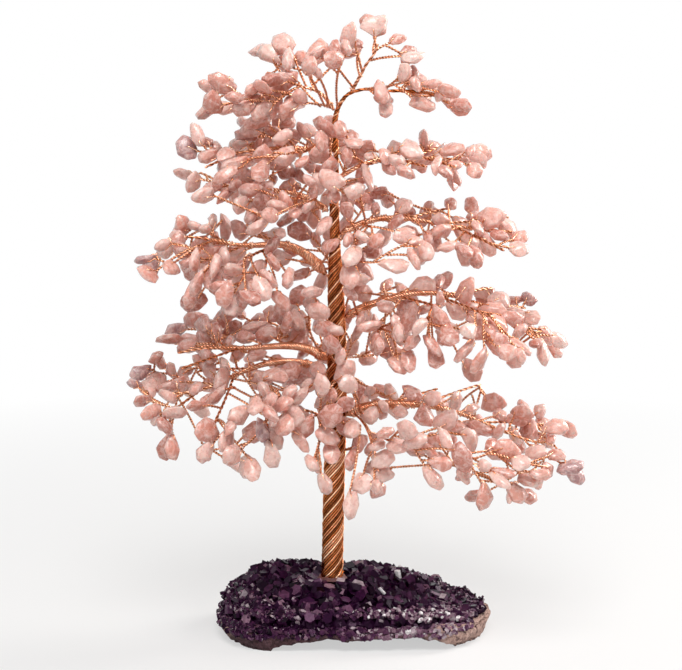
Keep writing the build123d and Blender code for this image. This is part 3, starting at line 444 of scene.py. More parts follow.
def curve_through(points, values, step):
    """Close points on a smooth curve through a few, with values to match, and the distance run."""
    knots = np.concatenate([[0.0], np.cumsum(np.linalg.norm(np.diff(points, axis=0), axis=1))])
    slopes = np.gradient(points, knots, axis=0)
    count = max(FEWEST_STEPS, int(math.ceil(knots[-1] / step)))
    run = np.linspace(0.0, knots[-1], count + 1)
    piece = np.clip(np.searchsorted(knots, run, side="right") - 1, 0, len(knots) - 2)
    width = (knots[piece + 1] - knots[piece])[:, None]
    share = (run[:, None] - knots[piece][:, None]) / width
    start, end = points[piece], points[piece + 1]
    square, cube = share ** 2, share ** 3
    line = (
        (2 * cube - 3 * square + 1) * start + (cube - 2 * square + share) * width * slopes[piece]
        + (3 * square - 2 * cube) * end + (cube - square) * width * slopes[piece + 1]
    )
    return line, np.interp(run, knots, values), run


def side_ways(line):
    """Two directions square to a line at each of its points, carried along it without turning."""
    along = np.gradient(line, axis=0)
    along /= np.linalg.norm(along, axis=1, keepdims=True)
    first = np.cross(along[0], [0.0, 1.0, 0.0])
    nearly_parallel = 0.2
    if np.linalg.norm(first) < nearly_parallel:
        first = np.cross(along[0], [1.0, 0.0, 0.0])
    sides = [unit(first)]
    for way in along[1:]:
        side = sides[-1] - way * (sides[-1] @ way)
        sides.append(unit(side))
    sides = np.array(sides)
    return sides, np.cross(along, sides)


# A rope's wires, in one wire's radii: the nearest to the middle line that they lie, the least distance
# that sets how fast they turn, and the longest piece of a wire between two of its points
NEAREST_IN_WIRES = 0.75
TIGHTEST_IN_WIRES = 2
LONGEST_PIECE_IN_WIRES = 5

# The most that a wire turns round its rope between two of its points
MOST_TURN = 0.42

# A rope has room for at least this many wires, and a wire ends where its number, counted from nought, passes
# the room by this share
FEWEST_WIRES = 2.0
SPARE_WIRE_SHARE = 0.25

# At an end the wires gather over this many times their distance from the middle, to this share of it
GATHER_LENGTH_SHARE = 1.6
GATHERED_SHARE = 0.3


def laid_strands(points, radii, strand_radius, lay, widen=None, sunk=0.0, closed_root=True):
    """The wires of a rope along a middle line: as many as fit round it, fewer where it is thinner.

    They gather at its tip, and at a closed root, so that no hollow end shows.
    """
    chance = random.Random(len(points))
    line, radius, run = curve_through(points, radii, strand_radius)
    if widen is not None:
        radius = widen(run, radius)
    sides, ups = side_ways(line)
    reach = np.maximum(radius - strand_radius, strand_radius * NEAREST_IN_WIRES)
    room = np.maximum(FEWEST_WIRES, math.pi * reach * math.cos(lay) / strand_radius)
    turn_rate = math.tan(lay) / np.maximum(reach, strand_radius * TIGHTEST_IN_WIRES)
    turn = np.concatenate([[0.0], np.cumsum((turn_rate[1:] + turn_rate[:-1]) / 2 * np.diff(run))])
    from_end = np.minimum(run, run[-1] - run) if closed_root else run[-1] - run
    gather_length = GATHER_LENGTH_SHARE * np.maximum(reach, strand_radius)
    reach = reach * np.clip(from_end / gather_length, GATHERED_SHARE, 1.0)
    most_run = strand_radius * LONGEST_PIECE_IN_WIRES
    keep, last = [0], 0
    for index in range(1, len(run)):
        if turn[index] - turn[last] > MOST_TURN or run[index] - run[last] > most_run:
            keep.append(index)
            last = index
    keep.append(len(run) - 1)
    strands = []
    for strand in range(int(round(room.max()))):
        path, inwards = [], sunk * chance.random()
        for index in keep:
            if strand >= room[index] + SPARE_WIRE_SHARE:
                break
            angle = turn[index] + 2 * math.pi * strand / room[index]
            way = sides[index] * math.cos(angle) + ups[index] * math.sin(angle)
            path.append(line[index] + way * (reach[index] - inwards))
        if len(path) > 3:
            strands.append(path)
    return strands, (line, reach)


def crests(points, number, paths, middles, radius):
    """For each corner of a mesh of wires, nought on its rope's inside and one on its outside.

    A wire's rope is the one whose wires lie nearest to most of its corners.
    """
    tree = KDTree(sum(len(path) for path in paths))
    for wire, path in enumerate(paths):
        for place in path:
            tree.insert(place, wire)
    tree.balance()
    nearest = np.array([tree.find(point)[1] for point in points])
    shares = np.empty(len(points))
    for solid in range(number.max() + 1):
        mine = np.flatnonzero(number == solid)
        places, reaches = middles[np.bincount(nearest[mine]).argmax()]
        gaps = np.linalg.norm(points[mine][:, None] - places[None], axis=2)
        shares[mine] = (gaps.min(axis=1) - reaches[gaps.argmin(axis=1)] + radius) / (2 * radius)
    return shares


def wires_object(name, paths, middles, radius, roundness):
    """One mesh of round wires along many paths, each with the middle line and reach that it winds round."""
    curve = bpy.data.curves.new(name, "CURVE")
    curve.dimensions = "3D"
    curve.bevel_depth = radius
    curve.bevel_resolution = roundness
    curve.use_fill_caps = True
    for path in paths:
        spline = curve.splines.new("POLY")
        spline.points.add(len(path) - 1)
        flat = np.concatenate([np.asarray(path), np.ones((len(path), 1))], axis=1)
        spline.points.foreach_set("co", flat.astype(np.float32).ravel())
    obj = new_object(name, curve)
    select_only(obj)
    bpy.ops.object.convert(target="MESH")
    obj = bpy.context.view_layer.objects.active
    in_edit_mode(
        obj,
        lambda: bpy.ops.mesh.remove_doubles(threshold=WELD),
        lambda: bpy.ops.mesh.normals_make_consistent(inside=False),
    )
    number, chance = solid_numbers(obj.data), random.Random(name)
    set_share(obj.data, "crest", crests(corner_points(obj.data), number, paths, middles, radius))
    set_share(obj.data, "strand", np.array([chance.random() for _ in range(number.max() + 1)])[number])
    bpy.ops.object.shade_smooth()
    return obj


# Node materials

class Nodes:
    """A material's node tree, with short ways to add and join nodes."""
    def __init__(self, name):
        self.material = bpy.data.materials.new(name)
        self.material.use_nodes = True
        self.tree = self.material.node_tree
        self.shader = self.tree.nodes["Principled BSDF"]
        self.place = self.add("ShaderNodeTexCoord").outputs["Object"]

    def add(self, kind, **settings):
        node = self.tree.nodes.new(kind)
        for key, value in settings.items():
            setattr(node, key, value)
        return node

    def join(self, source, target):
        self.tree.links.new(source, target)

    def feed(self, socket, source):
        """Join a source to one of the shader's own sockets."""
        self.join(source, self.shader.inputs[socket])

    def set(self, **values):
        """Set the shader's own sockets, by their names with underscores for spaces."""
        for key, value in values.items():
            self.shader.inputs[key.replace("_", " ")].default_value = value

    def noise(self, size, detail=3.0, roughness=0.55, distortion=0.0):
        node = self.add("ShaderNodeTexNoise")
        node.inputs["Scale"].default_value = 1.0 / size
        node.inputs["Detail"].default_value = detail
        node.inputs["Roughness"].default_value = roughness
        node.inputs["Distortion"].default_value = distortion
        self.join(self.place, node.inputs["Vector"])
        return node.outputs["Fac"]

    def share(self, name):
        node = self.add("ShaderNodeAttribute", attribute_name=name)
        return node.outputs["Fac"]

    def ramp(self, source, *stops):
        """A colour or level for each value: stops are pairs of a place and a colour."""
        node = self.add("ShaderNodeValToRGB")
        elements = node.color_ramp.elements
        while len(elements) < len(stops):
            elements.new(0.5)
        for element, (place, colour) in zip(elements, stops):
            element.position = place
            element.color = colour if hasattr(colour, "__len__") else (colour, colour, colour, 1.0)
        self.join(source, node.inputs["Fac"])
        return node.outputs["Color"]

    def mix(self, share, first, second, blend="MIX"):
        node = self.add("ShaderNodeMix", data_type="RGBA", blend_type=blend)
        colours = [socket for socket in node.inputs if socket.type == "RGBA"]
        for value, socket in ((share, node.inputs[0]), (first, colours[0]), (second, colours[1])):
            if hasattr(value, "links"):
                self.join(value, socket)
            else:
                socket.default_value = value
        return [socket for socket in node.outputs if socket.type == "RGBA"][0]

    def math(self, operation, first, second):
        node = self.add("ShaderNodeMath", operation=operation)
        for value, socket in ((first, node.inputs[0]), (second, node.inputs[1])):
            if hasattr(value, "links"):
                self.join(value, socket)
            else:
                socket.default_value = value
        return node.outputs[0]

    def bump(self, *layers):
        """Raise the surface by layers, each a height source and its depth in metres."""
        normal = None
        for height, depth in layers:
            node = self.add("ShaderNodeBump")
            node.inputs["Strength"].default_value = 1.0
            node.inputs["Distance"].default_value = depth
            self.join(height, node.inputs["Height"])
            if normal is not None:
                self.join(normal, node.inputs["Normal"])
            normal = node.outputs["Normal"]
        self.feed("Normal", normal)


def rose_quartz(stones):
    """Milky pink quartz with white veils and deeper flecks, with a painted highlight along its worn edges."""
    veil_size = 3.0 * MM
    fleck_size = 1.8 * MM
    polish_size = 2.0 * MM
    dent_size, dent_depth = 1.6 * MM, 0.16 * MM
    grain_size, grain_depth = 0.35 * MM, 0.02 * MM
    veil_share, fleck_share, edge_highlight_share = 0.62, 0.45, 0.16
    glow_depth, glow_tint = 2.0 * MM, (1.0, 0.50, 0.40)
    nodes = Nodes("rose_quartz")
    tone = nodes.ramp(
        nodes.share("tone"),
        (0.0, stones.milk), (0.42, stones.rose), (0.86, stones.peach), (0.95, stones.clear),
    )
    veil = nodes.ramp(nodes.noise(veil_size, 5.0, 0.65, 1.2), (0.46, 0.0), (0.62, 1.0))
    fleck = nodes.ramp(nodes.noise(fleck_size, 3.0, 0.6), (0.50, 0.0), (0.68, 1.0))
    deep = nodes.mix(nodes.math("MULTIPLY", fleck, fleck_share), tone, stones.peach)
    milky = nodes.mix(nodes.math("MULTIPLY", veil, veil_share), deep, stones.haze_and_highlight)
    # Painted highlight: the worn edges are mixed towards the haze white
    painted_highlight = nodes.mix(nodes.math("MULTIPLY", nodes.share("edge"), edge_highlight_share), milky, stones.haze_and_highlight)
    # Painted shade: facets are darkened at random, by up to an eighth
    shade = nodes.ramp(nodes.share("facet"), (0.10, 0.88), (0.50, 1.0))
    nodes.feed("Base Color", nodes.mix(1.0, painted_highlight, shade, "MULTIPLY"))
    nodes.feed("Roughness", nodes.ramp(nodes.noise(polish_size), (0.35, 0.16), (0.70, 0.36)))
    nodes.set(
        Subsurface_Weight=0.40, Subsurface_Scale=glow_depth, Subsurface_Radius=glow_tint,
        Transmission_Weight=0.08, IOR=1.54, Coat_Weight=0.15, Coat_Roughness=0.12,
    )
    nodes.bump((nodes.noise(dent_size, 3.0), dent_depth), (nodes.noise(grain_size, 2.0), grain_depth))
    return nodes.material


# How far out on its rope a wire's painted groove shade ends, its flank ends and its painted crest highlight
# is reached
TWIG_STOPS = (0.38, 0.62, 0.92)
STEM_STOPS = (0.52, 0.74, 0.98)
TRUNK_STOPS = (0.58, 0.74, 0.90)


def copper(name, wires, stops):
    """Metal of the wires' own colours, browned wire by wire, with a painted highlight of clean copper on
    their crests and painted shade where they meet.
    """
    patch_size = 6.0 * MM
    polish_size = 1.4 * MM
    strand_share = 0.5
    groove_end, flank_end, crest_start = stops
    nodes = Nodes(name)
    own = nodes.math("MULTIPLY", nodes.math("SUBTRACT", nodes.share("strand"), 0.5), strand_share)
    patches = nodes.math("ADD", nodes.noise(patch_size, 4.0, 0.6), own)
    tarnish = nodes.ramp(patches, (0.36, 0.0), (0.74, 0.75))
    outer = nodes.mix(tarnish, wires.bright, wires.brown)
    # Painted highlight: the clean colour shows only towards each wire's crest
    painted_highlight = nodes.ramp(nodes.share("crest"), (flank_end, 0.0), (crest_start, 1.0))
    crest_highlighted = nodes.mix(painted_highlight, wires.brown, outer)
    # Painted shade: each wire darkens to the groove colour towards its rope's inside, where the wires meet
    crest = nodes.ramp(nodes.share("crest"), (groove_end, 0.0), (flank_end, 1.0))
    nodes.feed("Base Color", nodes.mix(crest, wires.painted_groove_shade, crest_highlighted))
    nodes.feed("Roughness", nodes.ramp(nodes.noise(polish_size), (0.30, 0.17), (0.75, 0.36)))
    nodes.set(Metallic=1.0, Specular_Tint=(0.95, 0.60, 0.40, 1.0))
    return nodes.material


def tinted_glue():
    """Glue coloured to match the wires, in two shades."""
    patch_size = 1.5 * MM
    lump_size, lump_depth = 1.0 * MM, 0.25 * MM
    red_brown, grey_brown = (0.16, 0.045, 0.030, 1.0), (0.15, 0.060, 0.065, 1.0)
    nodes = Nodes("copper_glue")
    patches = nodes.ramp(nodes.noise(patch_size, 3.0), (0.35, 0.0), (0.65, 1.0))
    nodes.feed("Base Color", nodes.mix(patches, red_brown, grey_brown))
    nodes.set(Roughness=0.42, Specular_IOR_Level=0.25)
    nodes.bump((nodes.noise(lump_size, 3.0), lump_depth))
    return nodes.material


def amethyst(slab):
    """Crystal faces from near black to lilac, each face of its own tone with a painted shade, a few with a
    painted glint, and the crystals that stand for glints white.
    """
    cloud_size = 1.6 * MM
    polish_size = 2.4 * MM
    step_size, step_depth = 0.9 * MM, 0.05 * MM
    nodes = Nodes("amethyst")
    tone = nodes.ramp(
        nodes.share("tone"),
        (0.0, slab.dark), (0.30, slab.violet), (0.58, slab.plum), (0.86, slab.lilac), (1.0, slab.glint),
    )
    cloud = nodes.ramp(nodes.noise(cloud_size, 4.0, 0.65, 0.5), (0.40, 0.55), (0.64, 1.0))
    nodes.feed("Base Color", nodes.mix(1.0, tone, cloud, "MULTIPLY"))
    nodes.feed("Roughness", nodes.ramp(nodes.noise(polish_size), (0.35, 0.10), (0.70, 0.30)))
    nodes.set(IOR=1.55, Specular_IOR_Level=0.09, Specular_Tint=(0.90, 0.58, 0.82, 1.0))
    nodes.bump((nodes.noise(step_size, 2.0), step_depth))
    return nodes.material


def rough_rock(name, slab, band_share):
    """Tan rind at the ends, mauve and banded along the sides."""
    rind_blend = 12 * MM
    wander_size, wander_share = 9.0 * MM, 0.6
    band_size = 2.4 * MM
    grain_size = 1.6 * MM
    pit_size = 4.0 * MM
    lump_size, lump_depth = 1.8 * MM, 0.7 * MM
    grit_size, grit_depth = 0.5 * MM, 0.15 * MM
    pale_band, pale_grain = (0.15, 0.080, 0.095, 1.0), (0.64, 0.46, 0.40, 1.0)
    nodes = Nodes(name)
    split = nodes.add("ShaderNodeSeparateXYZ")
    nodes.join(nodes.place, split.inputs["Vector"])
    off_line = nodes.math("SUBTRACT", nodes.noise(wander_size, 3.0), 0.5)
    wander = nodes.math("MULTIPLY", off_line, wander_share)
    ends = []
    for side, start in ((1.0, slab.right_rind), (-1.0, slab.left_rind)):
        along = nodes.math("MULTIPLY", split.outputs["X"], side / rind_blend)
        past = nodes.math("SUBTRACT", along, start / rind_blend)
        ends.append(nodes.ramp(nodes.math("ADD", past, wander), (0.0, 0.0), (0.8, 1.0)))
    to_end = nodes.math("MAXIMUM", *ends)
    bands = nodes.ramp(
        nodes.noise(band_size, 5.0, 0.65, 1.2), (0.34, slab.umber), (0.52, slab.mauve), (0.72, pale_band)
    )
    grain = nodes.ramp(
        nodes.noise(grain_size, 5.0, 0.75), (0.34, slab.mauve), (0.50, slab.tan), (0.72, pale_grain)
    )
    front = nodes.mix(band_share, bands, slab.plum)
    pits = nodes.ramp(nodes.noise(pit_size, 5.0, 0.7, 0.6), (0.33, 0.25), (0.46, 1.0))
    nodes.feed("Base Color", nodes.mix(1.0, nodes.mix(to_end, front, grain), pits, "MULTIPLY"))
    nodes.set(Roughness=0.78, Specular_IOR_Level=0.25)
    nodes.bump((nodes.noise(lump_size, 5.0, 0.7), lump_depth), (nodes.noise(grit_size, 3.0), grit_depth))
    return nodes.material


# The stones

def pixel_of(point):
    """Where a point shows in the photograph."""
    offset = Vector(point) - EYE
    away = offset.y * math.cos(VIEW_PITCH) - offset.z * math.sin(VIEW_PITCH)
    rise = offset.y * math.sin(VIEW_PITCH) + offset.z * math.cos(VIEW_PITCH)
    return VIEW_CENTRE[0] + VIEW_FOCAL * offset.x / away, VIEW_CENTRE[1] - VIEW_FOCAL * rise / away


# How the depth of colour is spread over the stones, the deepest of the common ones, and the clear ones' own
TONE_SPREAD = (1.2, 1.6)
DEEPEST_TONE = 0.86
CLEAR_TONE = 1.0

# How a facet's painted shade, darker at random, is spread
FACET_MIDDLE = 0.5
FACET_SPREAD = 0.18

# Faces that turn by less than the first are one flat face, and edges that turn by less than the second
# are smooth
FLAT_ANGLE = math.radians(1)
STONE_EDGE_ANGLE = math.radians(45)


def stone_tone(middle, chance):
    """How deep a stone's colour is, or the tone of the clear ones."""
    tone = chance.betavariate(*TONE_SPREAD) * DEEPEST_TONE
    shown = pixel_of(middle)
    if any(math.dist(shown, place) < CLEAR_STONE_REACH for place in CLEAR_STONES):
        tone = CLEAR_TONE
    return tone


class GEMTREE_OT_stones(bpy.types.Operator):
    """Round off and colour the rose quartz chips of every bough"""
    bl_idname = "gem_tree.stones"
    bl_label = "Rose Quartz Chips"

    def execute(self, context):
        settings = context.scene.gem_tree_stones
        material = rose_quartz(settings)
        dents = clouds("chip_dents", settings.unevenness_size)
        for bough in BOUGHS:
            self.tumble(bough, settings, dents, material)
        return {"FINISHED"}

    def tumble(self, bough, settings, dents, material):
        """Make one bough's chips from its packed solids."""
        chance = random.Random(bough + " chips")
        obj = merged_copy(bough + "_chips", bough + "_stones")
        in_edit_mode(obj, lambda: bpy.ops.mesh.dissolve_limited(angle_limit=FLAT_ANGLE))
        mesh = obj.data
        points, number = corner_points(mesh), solid_numbers(mesh)
        tones = np.empty(len(points))
        for stone in range(number.max() + 1):
            mine = number == stone
            middle = points[mine].mean(axis=0)
            points[mine] = middle + self.shape(points[mine] - middle, settings, chance)
            tones[mine] = stone_tone(middle, chance)
        wander = settings.crookedness
        points += [[chance.uniform(-wander, wander) for _ in range(3)] for _ in points]
        set_corner_points(mesh, points)
        set_share(mesh, "tone", tones)
        add_modifier(
            obj, "BEVEL", offset_type="OFFSET", width=settings.wear, segments=1, limit_method="NONE",
        )
        displace(obj, dents, settings.unevenness)
        # Each facet's painted shade, drawn at random
        facets = [chance.gauss(FACET_MIDDLE, FACET_SPREAD) for _ in obj.data.polygons]
        edges = [polygon.area < settings.edge_area for polygon in obj.data.polygons]
        set_share(obj.data, "facet", facets, "FACE")
        set_share(obj.data, "edge", edges, "FACE")
        select_only(obj)
        bpy.ops.object.shade_smooth_by_angle(angle=STONE_EDGE_ANGLE)
        hand_over(obj, "rose_quartz", material, bough + "_chips")

    def shape(self, offsets, settings, chance):
        """One chip's corners about its middle: tapered, skewed and grown along its own three axes."""
        axes = np.linalg.svd(offsets, full_matrices=False)[2]
        along = offsets @ axes.T
        run = along[:, 0] / np.abs(along[:, 0]).max()
        along[:, 1] *= 1 + chance.uniform(-1, 1) * settings.taper * run
        along[:, 1] += chance.uniform(-1, 1) * settings.skew * np.ptp(along[:, 1]) * run
        growth = np.minimum(settings.proportions, np.array(settings.largest) / np.ptp(along, axis=0))
        return (along * growth) @ axes


# The twigs: twisted pairs of wire, each with a stone on its eye

# Further than any chip reaches from its middle
STONE_REACH = 20 * MM


class StoneLookup:
    """A bough's stones, asked for the stone nearest a place and for points of its skin."""
    def __init__(self, bough):
        mesh = bpy.data.objects[bough + "_stones"].data
        self.points, self.number = corner_points(mesh), solid_numbers(mesh)
        self.polygons = [tuple(polygon.vertices) for polygon in mesh.polygons]
        self.whole = BVHTree.FromPolygons([tuple(point) for point in self.points], self.polygons)
        self.trees = {}

    def nearest(self, place):
        """The gap from a place to the nearest stone, and that stone's number."""
        _, _, polygon, gap = self.whole.find_nearest(tuple(place))
        return gap, int(self.number[self.polygons[polygon][0]])

    def middle_and_facing(self, stone):
        """A stone's middle, and the way that its flattest side faces."""
        own = self.points[self.number == stone]
        middle = own.mean(axis=0)
        return middle, np.linalg.svd(own - middle, full_matrices=False)[2][2]

    def skin(self, stone, place, side):
        """The point of a stone's skin that a line through a place meets on one side, if it does."""
        if stone not in self.trees:
            own = [polygon for polygon in self.polygons if self.number[polygon[0]] == stone]
            self.trees[stone] = BVHTree.FromPolygons([tuple(point) for point in self.points], own)
        away = place + side * STONE_REACH
        hit = self.trees[stone].ray_cast(tuple(away), tuple(-side), STONE_REACH * 2)[0]
        return None if hit is None else np.array(hit)


# How closely the stems' middle lines are followed where a twig looks for its stem
STEM_STEP = 0.4 * MM

# A coil: its share of the usual turns, its rise to the next turn and its distance from the stem's skin in
# one wire's radii, its points a turn, the points beyond its turns, and the least turns worth winding
COIL_TURN_SHARES = (0.5, 1.3)
COIL_RISE_IN_WIRES = (2.2, 3.2)
COIL_STAND_OFF_IN_WIRES = 0.7
COIL_POINTS = 8
COIL_END_POINTS = 3
LEAST_COIL_TURNS = 0.25

# A length so small that it only gives a twig on its stem's middle line a side to start from
NEXT_TO_NOTHING = 1e-9


class StemLookup:
    """A bough's stems, asked for the coil of wire that holds a twig to the nearest of them."""
    def __init__(self, bough, settings):
        self.places, self.ways, self.radii, self.drawn = [], [], [], []
        thinnest = settings.rope_radius * (1 + NEAREST_IN_WIRES)
        for points, radii in bundle_lines(bough + "_stems"):
            line, radius, _ = curve_through(points, slimmed(points, radii, 1.0), STEM_STEP)
            drawn = curve_through(points, slimmed(points, radii, settings.slimming), STEM_STEP)[1]
            self.places += list(line)
            self.ways += [unit(way) for way in np.gradient(line, axis=0)]
            self.radii += list(radius)
            self.drawn += list(np.maximum(drawn, thinnest))
        self.tree = KDTree(len(self.places))
        for index, place in enumerate(self.places):
            self.tree.insert(place, index)
        self.tree.balance()

    def wrap(self, root, settings, chance):
        """A coil round the stem from a twig's root, and its middle line: none on thin stems or off them."""
        wire = settings.strand_radius
        _, index, gap = self.tree.find(tuple(root))
        centre, way, drawn = self.places[index], self.ways[index], self.drawn[index]
        full = (drawn - settings.wrap_least) / (settings.wrap_full - settings.wrap_least)
        turns = settings.wrap_turns * min(1.0, full) * chance.uniform(*COIL_TURN_SHARES)
        if gap - self.radii[index] > settings.wrap_reach or turns < LEAST_COIL_TURNS:
            return None
        away = root - centre
        side = unit(away - way * (away @ way) + NEXT_TO_NOTHING)
        up = np.cross(way, side) * chance.choice((-1, 1))
        climb = chance.choice((-1, 1)) * wire * chance.uniform(*COIL_RISE_IN_WIRES) / (2 * math.pi)
        reach = drawn + wire * COIL_STAND_OFF_IN_WIRES
        path, line = [], []
        for step in range(int(COIL_POINTS * turns) + COIL_END_POINTS):
            angle = 2 * math.pi * step / COIL_POINTS
            line.append(centre + way * climb * angle)
            path.append(line[-1] + (side * math.cos(angle) + up * math.sin(angle)) * reach)
        return path, (np.array(line), np.full(len(line), drawn))


# A twig's pair of wires: its points a turn, and, in one wire's radii, how far it starts inside its parent,
# how far it stands off the chip's skin and how far its end is bent into the chip
PAIR_POINTS = 5
PAIR_ROOT_IN_WIRES = 3
EYE_STAND_OFF_IN_WIRES = 0.6
EYE_BEND_IN_WIRES = 3

# Where a pair's points lie over the chip, as shares of the way from the chip's edge to its hole
EYE_SHARES = (0.3, 0.7, 1.0)


class GEMTREE_OT_twigs(bpy.types.Operator):
    """Twist a pair of wires along every twig and through the eye of its stone"""
    bl_idname = "gem_tree.twigs"
    bl_label = "Twisted Twigs"

    def execute(self, context):
        settings = context.scene.gem_tree_wires
        material = copper("twig_copper", settings, TWIG_STOPS)
        for bough in BOUGHS:
            chance = random.Random(bough + " twigs")
            stones, stems = StoneLookup(bough), StemLookup(bough, settings)
            paths, middles, coils, rounded = [], [], [], []
            for ends in twig_lines(bough + "_twigs"):
                pair, root, line = self.pair(ends, stones, settings, chance)
                paths += pair
                middles += [(line, np.full(len(line), settings.strand_radius))] * len(pair)
                coil = stems.wrap(root, settings, chance)
                if coil:
                    coils.append(coil[0])
                    rounded.append(coil[1])
            obj = wires_object(bough + "_wire_pairs", paths, middles, settings.strand_radius, 0)
            if coils:
                wound = wires_object(bough + "_coils", coils, rounded, settings.strand_radius, 0)
                select_only(obj, wound)
                bpy.ops.object.join()
            hand_over(obj, "copper_wire", material, bough + "_twigs")
        return {"FINISHED"}

    def pair(self, ends, stones, settings, chance):
        """The two wires of one twig, from inside its parent to the stone's hole, its root and middle line."""
        gaps = [stones.nearest(end) for end in ends]
        tip = 0 if gaps[0][0] < gaps[1][0] else 1
        stone = gaps[tip][1]
        root, end = ends[1 - tip], ends[tip]
        way = unit(end - root)
        middle, facing = stones.middle_and_facing(stone)
        side = unit(facing - way * (facing @ way))
        across = np.cross(way, side)
        radius = settings.strand_radius
        on_trunk = math.hypot(root[0], root[1]) < TRUNK_REACH
        root = root - way * (settings.trunk_root if on_trunk else radius * PAIR_ROOT_IN_WIRES)
        length = np.linalg.norm(end - root) - radius
        steps = max(FEWEST_STEPS, int(length / settings.pair_pitch * PAIR_POINTS))
        bow = chance.uniform(-1, 1) * settings.bow * length
        lift = chance.uniform(-1, 1) * settings.bow * length
        depth = np.linalg.norm(middle - end) * settings.eye_depth
        paths, line = [], []
        for sign in (1, -1):
            path = []
            for step in range(steps + 1):
                run = length * step / steps
                turn = 2 * math.pi * (run - length) / settings.pair_pitch
                swing = math.sin(math.pi * step / steps)
                offset = (side * math.cos(turn) + across * math.sin(turn)) * radius * sign
                place = root + way * run + (side * bow + across * lift) * swing
                path.append(place + offset)
                line.append(place)
            facing_out = side * sign
            for share in EYE_SHARES:
                skin = stones.skin(stone, end + way * depth * share, facing_out)
                if skin is not None:
                    path.append(skin + facing_out * radius * EYE_STAND_OFF_IN_WIRES)
            path.append(path[-1] + way * radius - facing_out * radius * EYE_BEND_IN_WIRES)
            paths.append(path)
        return paths, root, np.array(line)


# How far a stem's wires reach into its parent, as a share of the stem's radius there
STEM_ROOT_SHARE = 1.6


class GEMTREE_OT_stems(bpy.types.Operator):
    """Lay up the wires of every stem and side branch"""
    bl_idname = "gem_tree.stems"
    bl_label = "Stems and Side Branches"

    def execute(self, context):
        settings = context.scene.gem_tree_wires
        material = copper("stem_copper", settings, STEM_STOPS)
        for bough in BOUGHS:
            paths, middles = [], []
            for points, radii in bundle_lines(bough + "_stems"):
                root_way = unit(points[0] - points[1])
                radii = slimmed(points, radii, settings.slimming)
                points = np.vstack([points[0] + root_way * radii[0] * STEM_ROOT_SHARE, points])
                radii = np.concatenate([[radii[0]], radii])
                strands, line = laid_strands(points, radii, settings.rope_radius, settings.rope_lay)
                paths += strands
                middles += [line] * len(strands)
            obj = wires_object(bough + "_ropes", paths, middles, settings.rope_radius, 1)
            hand_over(obj, "copper_wire", material, bough + "_stems")
        return {"FINISHED"}


class GEMTREE_OT_trunk(bpy.types.Operator):
    """Lay up the wires of the trunk, splayed at its foot"""
    bl_idname = "gem_tree.trunk"
    bl_label = "Trunk"

    def execute(self, context):
        settings = context.scene.gem_tree_trunk
        points, radii = bundle_lines("trunk")[0]

        def shown_girth(run, radius):
            heights, shares = zip(*TRUNK_GIRTH)
            splay = settings.flare * np.maximum(0.0, 1 - run / settings.flare_height) ** 2
            return radius * np.interp(run, heights, shares) + splay

        paths, line = laid_strands(
            points, radii, settings.strand_radius, settings.lay, shown_girth, settings.sunk, closed_root=False
        )
        obj = wires_object("trunk_wires", paths, [line] * len(paths), settings.strand_radius, 2)
        hand_over(obj, "copper_wire", copper("trunk_copper", settings, TRUNK_STOPS), "trunk")
        return {"FINISHED"}


# The foot's glue: the size of its mesh, and the width and height of its lumps
GLUE_GRAIN = 0.35 * MM
GLUE_LUMP_WIDTH = 2.4 * MM
GLUE_LUMP_HEIGHT = 1.0 * MM


class GEMTREE_OT_foot(bpy.types.Operator):
    """Shape the mound of tinted glue round the trunk's foot"""
    bl_idname = "gem_tree.foot"
    bl_label = "Foot Glue"

    def execute(self, context):
        obj = merged_copy("foot_collar", "foot_glue")
        points = corner_points(obj.data)
        points[:, :2] *= COLLAR_WIDTH_SHARE
        floor = points[:, 2].min()
        points[:, 2] = floor + (points[:, 2] - floor) * COLLAR_HEIGHT_SHARE
        set_corner_points(obj.data, points)
        add_modifier(obj, "REMESH", mode="VOXEL", voxel_size=GLUE_GRAIN)
        lumps = clouds("glue_lumps", GLUE_LUMP_WIDTH)
        displace(obj, lumps, GLUE_LUMP_HEIGHT)
        select_only(obj)
        bpy.ops.object.shade_smooth()
        hand_over(obj, "copper_glue", tinted_glue(), "foot_collar")
        return {"FINISHED"}


# The slab

# The rock's coarse and fine lumps: their widths, and the height of the fine ones as a share of the coarse
ROCK_COARSE_WIDTH = 7 * MM
ROCK_FINE_WIDTH = 2.2 * MM
ROCK_FINE_SHARE = 0.45
ROCK_EDGE_ANGLE = math.radians(28)

# Rock below this share of its mesh's size rests flat on the floor
REST_SHARE = 0.9

# The banded quartz: how rough it is next to the rock, and how much of the crystals' plum it takes
BAND_RELIEF_SHARE = 0.8
BAND_PLUM_SHARE = 0.55


def roughened(node, name, slab, relief):
    """A solid of the slab with a broken, uneven skin, still flat where it rests."""
    obj = merged_copy(node, name)
    add_modifier(obj, "REMESH", mode="VOXEL", voxel_size=slab.rock_grain)
    coarse = bpy.data.textures.new(name + "_coarse", "VORONOI")
    coarse.noise_scale = ROCK_COARSE_WIDTH
    fine = clouds(name + "_fine", ROCK_FINE_WIDTH, 3)
    flat = (corner_points(obj.data)[:, 2].min() + slab.rock_grain) * REST_SHARE
    for texture, height in ((coarse, relief), (fine, relief * ROCK_FINE_SHARE)):
        displace(obj, texture, height)
    if node == "base_rock":
        points = corner_points(obj.data)
        points[:, 2] = np.where(points[:, 2] < flat, 0.0, points[:, 2])
        set_corner_points(obj.data, points)
    select_only(obj)
    bpy.ops.object.shade_smooth_by_angle(angle=ROCK_EDGE_ANGLE)
    return obj


